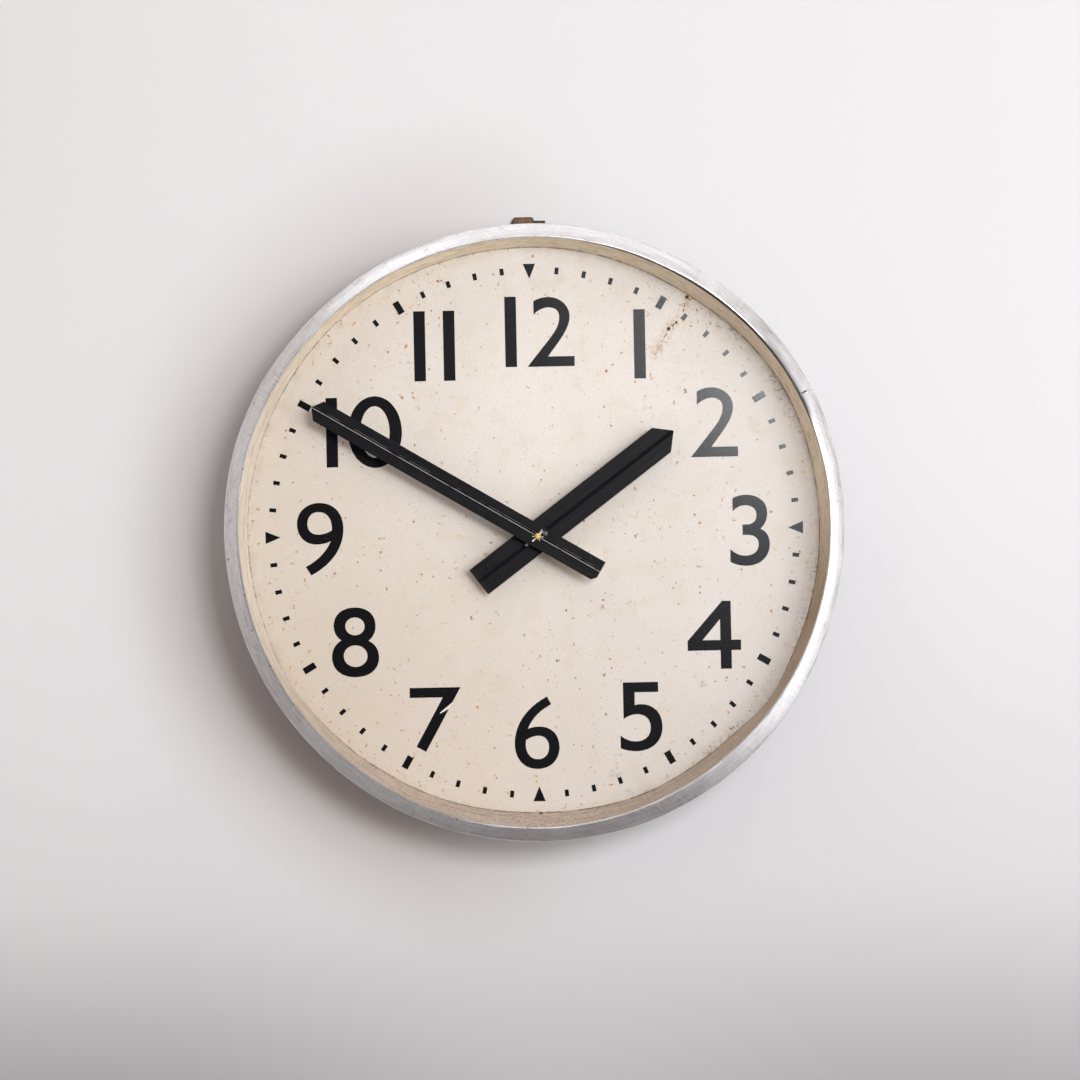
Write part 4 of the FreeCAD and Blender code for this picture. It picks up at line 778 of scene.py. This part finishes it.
# Strip in millimetres: bent round between the dial and the lip, its foot wandering and lifted in two places
STRIP_THICK = 2.2
STRIP_FOOT = 305.8
STRIP_HEAD = 313.4
STRIP_CLEAR = 0.05
SLIT = 0.08
STRIP_STEPS = 900
SIDE_STEPS = 14
FOOT_WANDER = ((3.0, 61.0, 16.0), (-2.4, 31.0, 14.0), (4.2, 126.0, 7.0), (-2.6, 143.0, 14.0),
               (-5.6, 181.0, 20.0), (-2.4, 211.0, 14.0), (3.0, 318.0, 22.0), (1.8, 285.0, 24.0),
               (2.5, 240.0, 8.0))
FOOT_LIFTED = ((3.5, 126.0, 7.0), (2.4, 240.0, 9.0))
HEAD_WANDER = ((3.0, 60.0, 20.0), (1.8, 291.0, 22.0), (-1.5, 25.0, 24.0))
half_slit = math.degrees(SLIT / 2.0 / STRIP_FOOT)
strip_angles = np.linspace(180.0 + half_slit, 540.0 - half_slit, STRIP_STEPS)
up = np.linspace(0.0, 1.0, SIDE_STEPS)
up = np.concatenate([up, up[::-1]])[None, :]
outward = np.concatenate([np.zeros(SIDE_STEPS), np.full(SIDE_STEPS, STRIP_THICK)])[None, :]
foot_r = (STRIP_FOOT + humps(strip_angles, FOOT_WANDER))[:, None]
head_r = (STRIP_HEAD + humps(strip_angles, HEAD_WANDER) + 0.4 * waves(strip_angles, 5.0))[:, None]
belly = 0.7 * np.sin(math.pi * up) * waves(strip_angles, 7.0, 30.0)[:, None]
strip_radius = foot_r + (head_r - foot_r) * up + belly + outward
lifted = humps(strip_angles, FOOT_LIFTED)[:, None] * (1.0 - up) ** 2
strip_depth = DIAL_FRONT + STRIP_CLEAR + (STRIP_TOP - DIAL_FRONT) * up + lifted
strip = ring_mesh("fibre_strip", strip_angles[:, None], strip_radius, strip_depth, finishes["strip_fibre"])
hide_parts("rim_strip")
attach(strip, "case")


# Stage: a white wall behind the clock, clear from behind, and a pale floor well below it
def stage_plane(name, corners, material, seen=True):
    """Flat four-sided sheet from its corners; a card that only shades and reflects isn't seen itself."""
    mesh = bpy.data.meshes.new(name)
    mesh.from_pydata(corners, [], [(0, 1, 2, 3)])
    mesh.materials.append(material)
    piece = bpy.data.objects.new(name, mesh)
    piece.visible_camera = seen
    bpy.context.scene.collection.objects.link(piece)


# Rays shorter than this, in millimetres, pass through the wall
SHORT_RAY = 20.0


def wall_paint():
    """Matt white wall with painted shade: greyer towards the floor, the top and the right, lighter below the
    clock, and a painted warm shadow beside the clock.

    It is clear from behind and to the light that falls on the back of the clock.
    """
    material, where = blank("wall_white")
    cloud = where.noise(3.0, 4.0, 0.6)
    roller = where.noise(240.0, 3.0, 0.6)
    x, _, z = where.axes()
    white = cloud.colour((0.86, 0.85, 0.86, 1), (0.89, 0.885, 0.895, 1))
    white = x.rise(-0.65, 0.65).colour(white, (0.765, 0.758, 0.768, 1))
    white = (z.rise(0.0, 0.6) * 0.5).colour(white, (0.74, 0.733, 0.742, 1))
    middle = x.math("ABSOLUTE").rise(0.45, 0.0)
    white = (z - 0.15 * x + 0.15 * middle).rise(-1.0, 0.05).colour((0.60, 0.595, 0.605, 1), white)
    white = (z.rise(-0.36, -0.70) * (0.85 - 0.3 * middle)).colour(white, (0.36, 0.36, 0.365, 1))
    # Painted warm shadow on the wall to the left of the clock, stronger below it
    beside = length(x, z).rise(0.49, 0.35) * x.rise(0.10, -0.18)
    white = (beside * (0.55 + 0.30 * z.rise(0.05, -0.20))).colour(white, (0.66, 0.59, 0.56, 1))
    normal = where.node("Bump", {}, {"Strength": 0.25, "Distance": 0.4 * MM, "Height": roller})
    paint = where.node("BsdfDiffuse", {}, {"Color": white, "Normal": normal})
    clear = where.node("BsdfTransparent")
    behind = where.node("NewGeometry", {}, {}, 6)
    lamp_ray = where.node("LightPath", {}, {}, "Is Shadow Ray")
    short_ray = where.node("LightPath", {}, {}, "Ray Length").math("LESS_THAN", SHORT_RAY * MM)
    see_through = behind.most(lamp_ray).most(short_ray)
    surface = where.node("MixShader", {}, {0: see_through, 1: paint, 2: clear})
    where.node("OutputMaterial", {}, {"Surface": surface})
    return material


def floor_paint(where):
    """Pale matt floor."""
    cloud = where.noise(5.0, 4.0, 0.6)
    return {"Base Color": cloud.colour((0.56, 0.54, 0.53, 1), (0.60, 0.58, 0.57, 1)),
            "Roughness": 0.8 + 0.1 * cloud}


def card_cloth(where):
    """Dark studio cloth."""
    nap = where.noise(300.0, 3.0, 0.6)
    return {"Base Color": nap.colour((0.020, 0.019, 0.019, 1), (0.030, 0.029, 0.029, 1)),
            "Roughness": 0.9 + 0.1 * nap}


def card_board(where):
    """Grey studio board, paler to the left."""
    nap = where.noise(300.0, 3.0, 0.6)
    grey = nap.colour((0.22, 0.198, 0.198, 1), (0.25, 0.225, 0.225, 1))
    shown = where.axes()[0].rise(0.3, -1.5).colour(grey, (0.56, 0.54, 0.53, 1))
    return {"Base Color": shown, "Roughness": 0.9 + 0.1 * nap}


WALL_Y = 0.0006
FLOOR_Z = -2.2
REACH = 5.0
stage_plane("wall", [(-REACH, WALL_Y, FLOOR_Z), (REACH, WALL_Y, FLOOR_Z), (REACH, WALL_Y, REACH),
                     (-REACH, WALL_Y, REACH)], wall_paint())
stage_plane("floor", [(-REACH, -REACH, FLOOR_Z), (REACH, -REACH, FLOOR_Z), (REACH, REACH, FLOOR_Z),
                      (-REACH, REACH, FLOOR_Z)], finish("floor_pale", floor_paint))

# Cards: a dark cloth behind the camera for the black paint, grey boards below and on the left for the bezel
CLOTH_Y = -3.1
CLOTH_HALF = 1.9
CLOTH_RIGHT = 1.4
BOARD_Z = -1.3
BOARD_RIGHT = 1.05
BOARD_LEFT = -1.9
BOARD_TOP = -0.40
BOARD_NEAR = -2.6
BOARD_FAR = -0.35
stage_plane("cloth", [(-CLOTH_HALF, CLOTH_Y, -CLOTH_HALF), (CLOTH_RIGHT, CLOTH_Y, -CLOTH_HALF),
                      (CLOTH_RIGHT, CLOTH_Y, CLOTH_HALF), (-CLOTH_HALF, CLOTH_Y, CLOTH_HALF)],
            finish("card_cloth", card_cloth), False)
board = finish("card_board", card_board)
stage_plane("board_below", [(BOARD_LEFT, BOARD_NEAR, BOARD_Z), (BOARD_RIGHT, BOARD_NEAR, BOARD_Z),
                            (BOARD_RIGHT, BOARD_FAR, BOARD_Z), (BOARD_LEFT, BOARD_FAR, BOARD_Z)],
            board, False)
stage_plane("board_left", [(BOARD_LEFT, BOARD_FAR, BOARD_Z), (BOARD_LEFT, BOARD_FAR, BOARD_TOP),
                           (BOARD_LEFT, BOARD_NEAR, BOARD_TOP), (BOARD_LEFT, BOARD_NEAR, BOARD_Z)],
            board, False)


# Light: banks on the right, below and overhead, fills on the left and behind, a box by the camera, a pale room
def soft_box(name, at, aim, size, radiance, tint=(1.0, 1.0, 1.0)):
    """Rectangular lamp whose face has a given brightness, aimed at a point and hidden from the camera."""
    lamp = bpy.data.lights.new(name, "AREA")
    lamp.shape = "RECTANGLE"
    lamp.size, lamp.size_y = size
    lamp.energy = radiance * math.pi * size[0] * size[1]
    lamp.color = tint
    piece = bpy.data.objects.new(name, lamp)
    piece.location = at
    toward = np.array(aim) - np.array(at)
    flat = math.hypot(toward[0], toward[1])
    piece.rotation_euler = (math.atan2(flat, -toward[2]), 0.0, math.atan2(-toward[0], toward[1]))
    piece.visible_camera = False
    bpy.context.scene.collection.objects.link(piece)


COOL = (0.955, 0.98, 1.0)
BLUE = (0.6, 0.85, 1.0)
soft_box("right_bank", (3.14, -3.89, 0.50), (0.0, 0.0, 0.05), (2.3, 2.3), 4.85, COOL)
soft_box("side_bank", (2.0, -1.10, 0.42), (0.0, -0.09, 0.0), (1.0, 1.7), 0.36, COOL)
soft_box("left_fill", (-1.9, -1.10, 0.35), (0.0, -0.09, 0.0), (1.0, 1.4), 0.16, BLUE)
soft_box("low_bank", (1.54, -0.95, -0.69), (0.25, -0.09, -0.12), (0.85, 1.20), 1.15, COOL)
soft_box("top_bank", (0.55, -0.62, 1.9), (0.55, -0.62, 0.0), (2.20, 1.10), 0.72, COOL)
soft_box("top_left", (-1.05, -1.05, 1.9), (-1.05, -0.85, 0.0), (1.00, 0.65), 1.90, COOL)
soft_box("camera_box", (0.75, -2.5, 0.53), (0.0, 0.0, 0.0), (0.7, 0.7), 17.0, COOL)
soft_box("back_fill", (0.6, 2.6, 1.2), (0.0, 0.0, 0.0), (2.0, 2.0), 1.6)

world = bpy.data.worlds.new("studio")
bpy.context.scene.world = world
world.use_nodes = True
world.node_tree.nodes.clear()
sky = Wire(world.node_tree)
height = sky.node("TexCoord", {}, {}, 0).axes()[2]
room = height.rise(-0.6, 0.5).colour((0.575, 0.485, 0.44, 1), (0.63, 0.565, 0.535, 1))
sky.node("OutputWorld", {}, {"Surface": sky.node("Background", {}, {"Color": room, "Strength": 1.0})})

lens = bpy.data.cameras.new("photo_camera")
lens.sensor_width = SENSOR
lens.lens = SENSOR / 2.0 / HALF_FIELD
lens.clip_end = 50.0
camera = bpy.data.objects.new("photo_camera", lens)
camera.location = CAMERA_AT
camera.rotation_euler = (math.pi / 2.0, math.radians(CAMERA_ROLL), 0.0)
bpy.context.scene.collection.objects.link(camera)
bpy.context.scene.camera = camera
bpy.context.scene.view_settings.view_transform = "Standard"
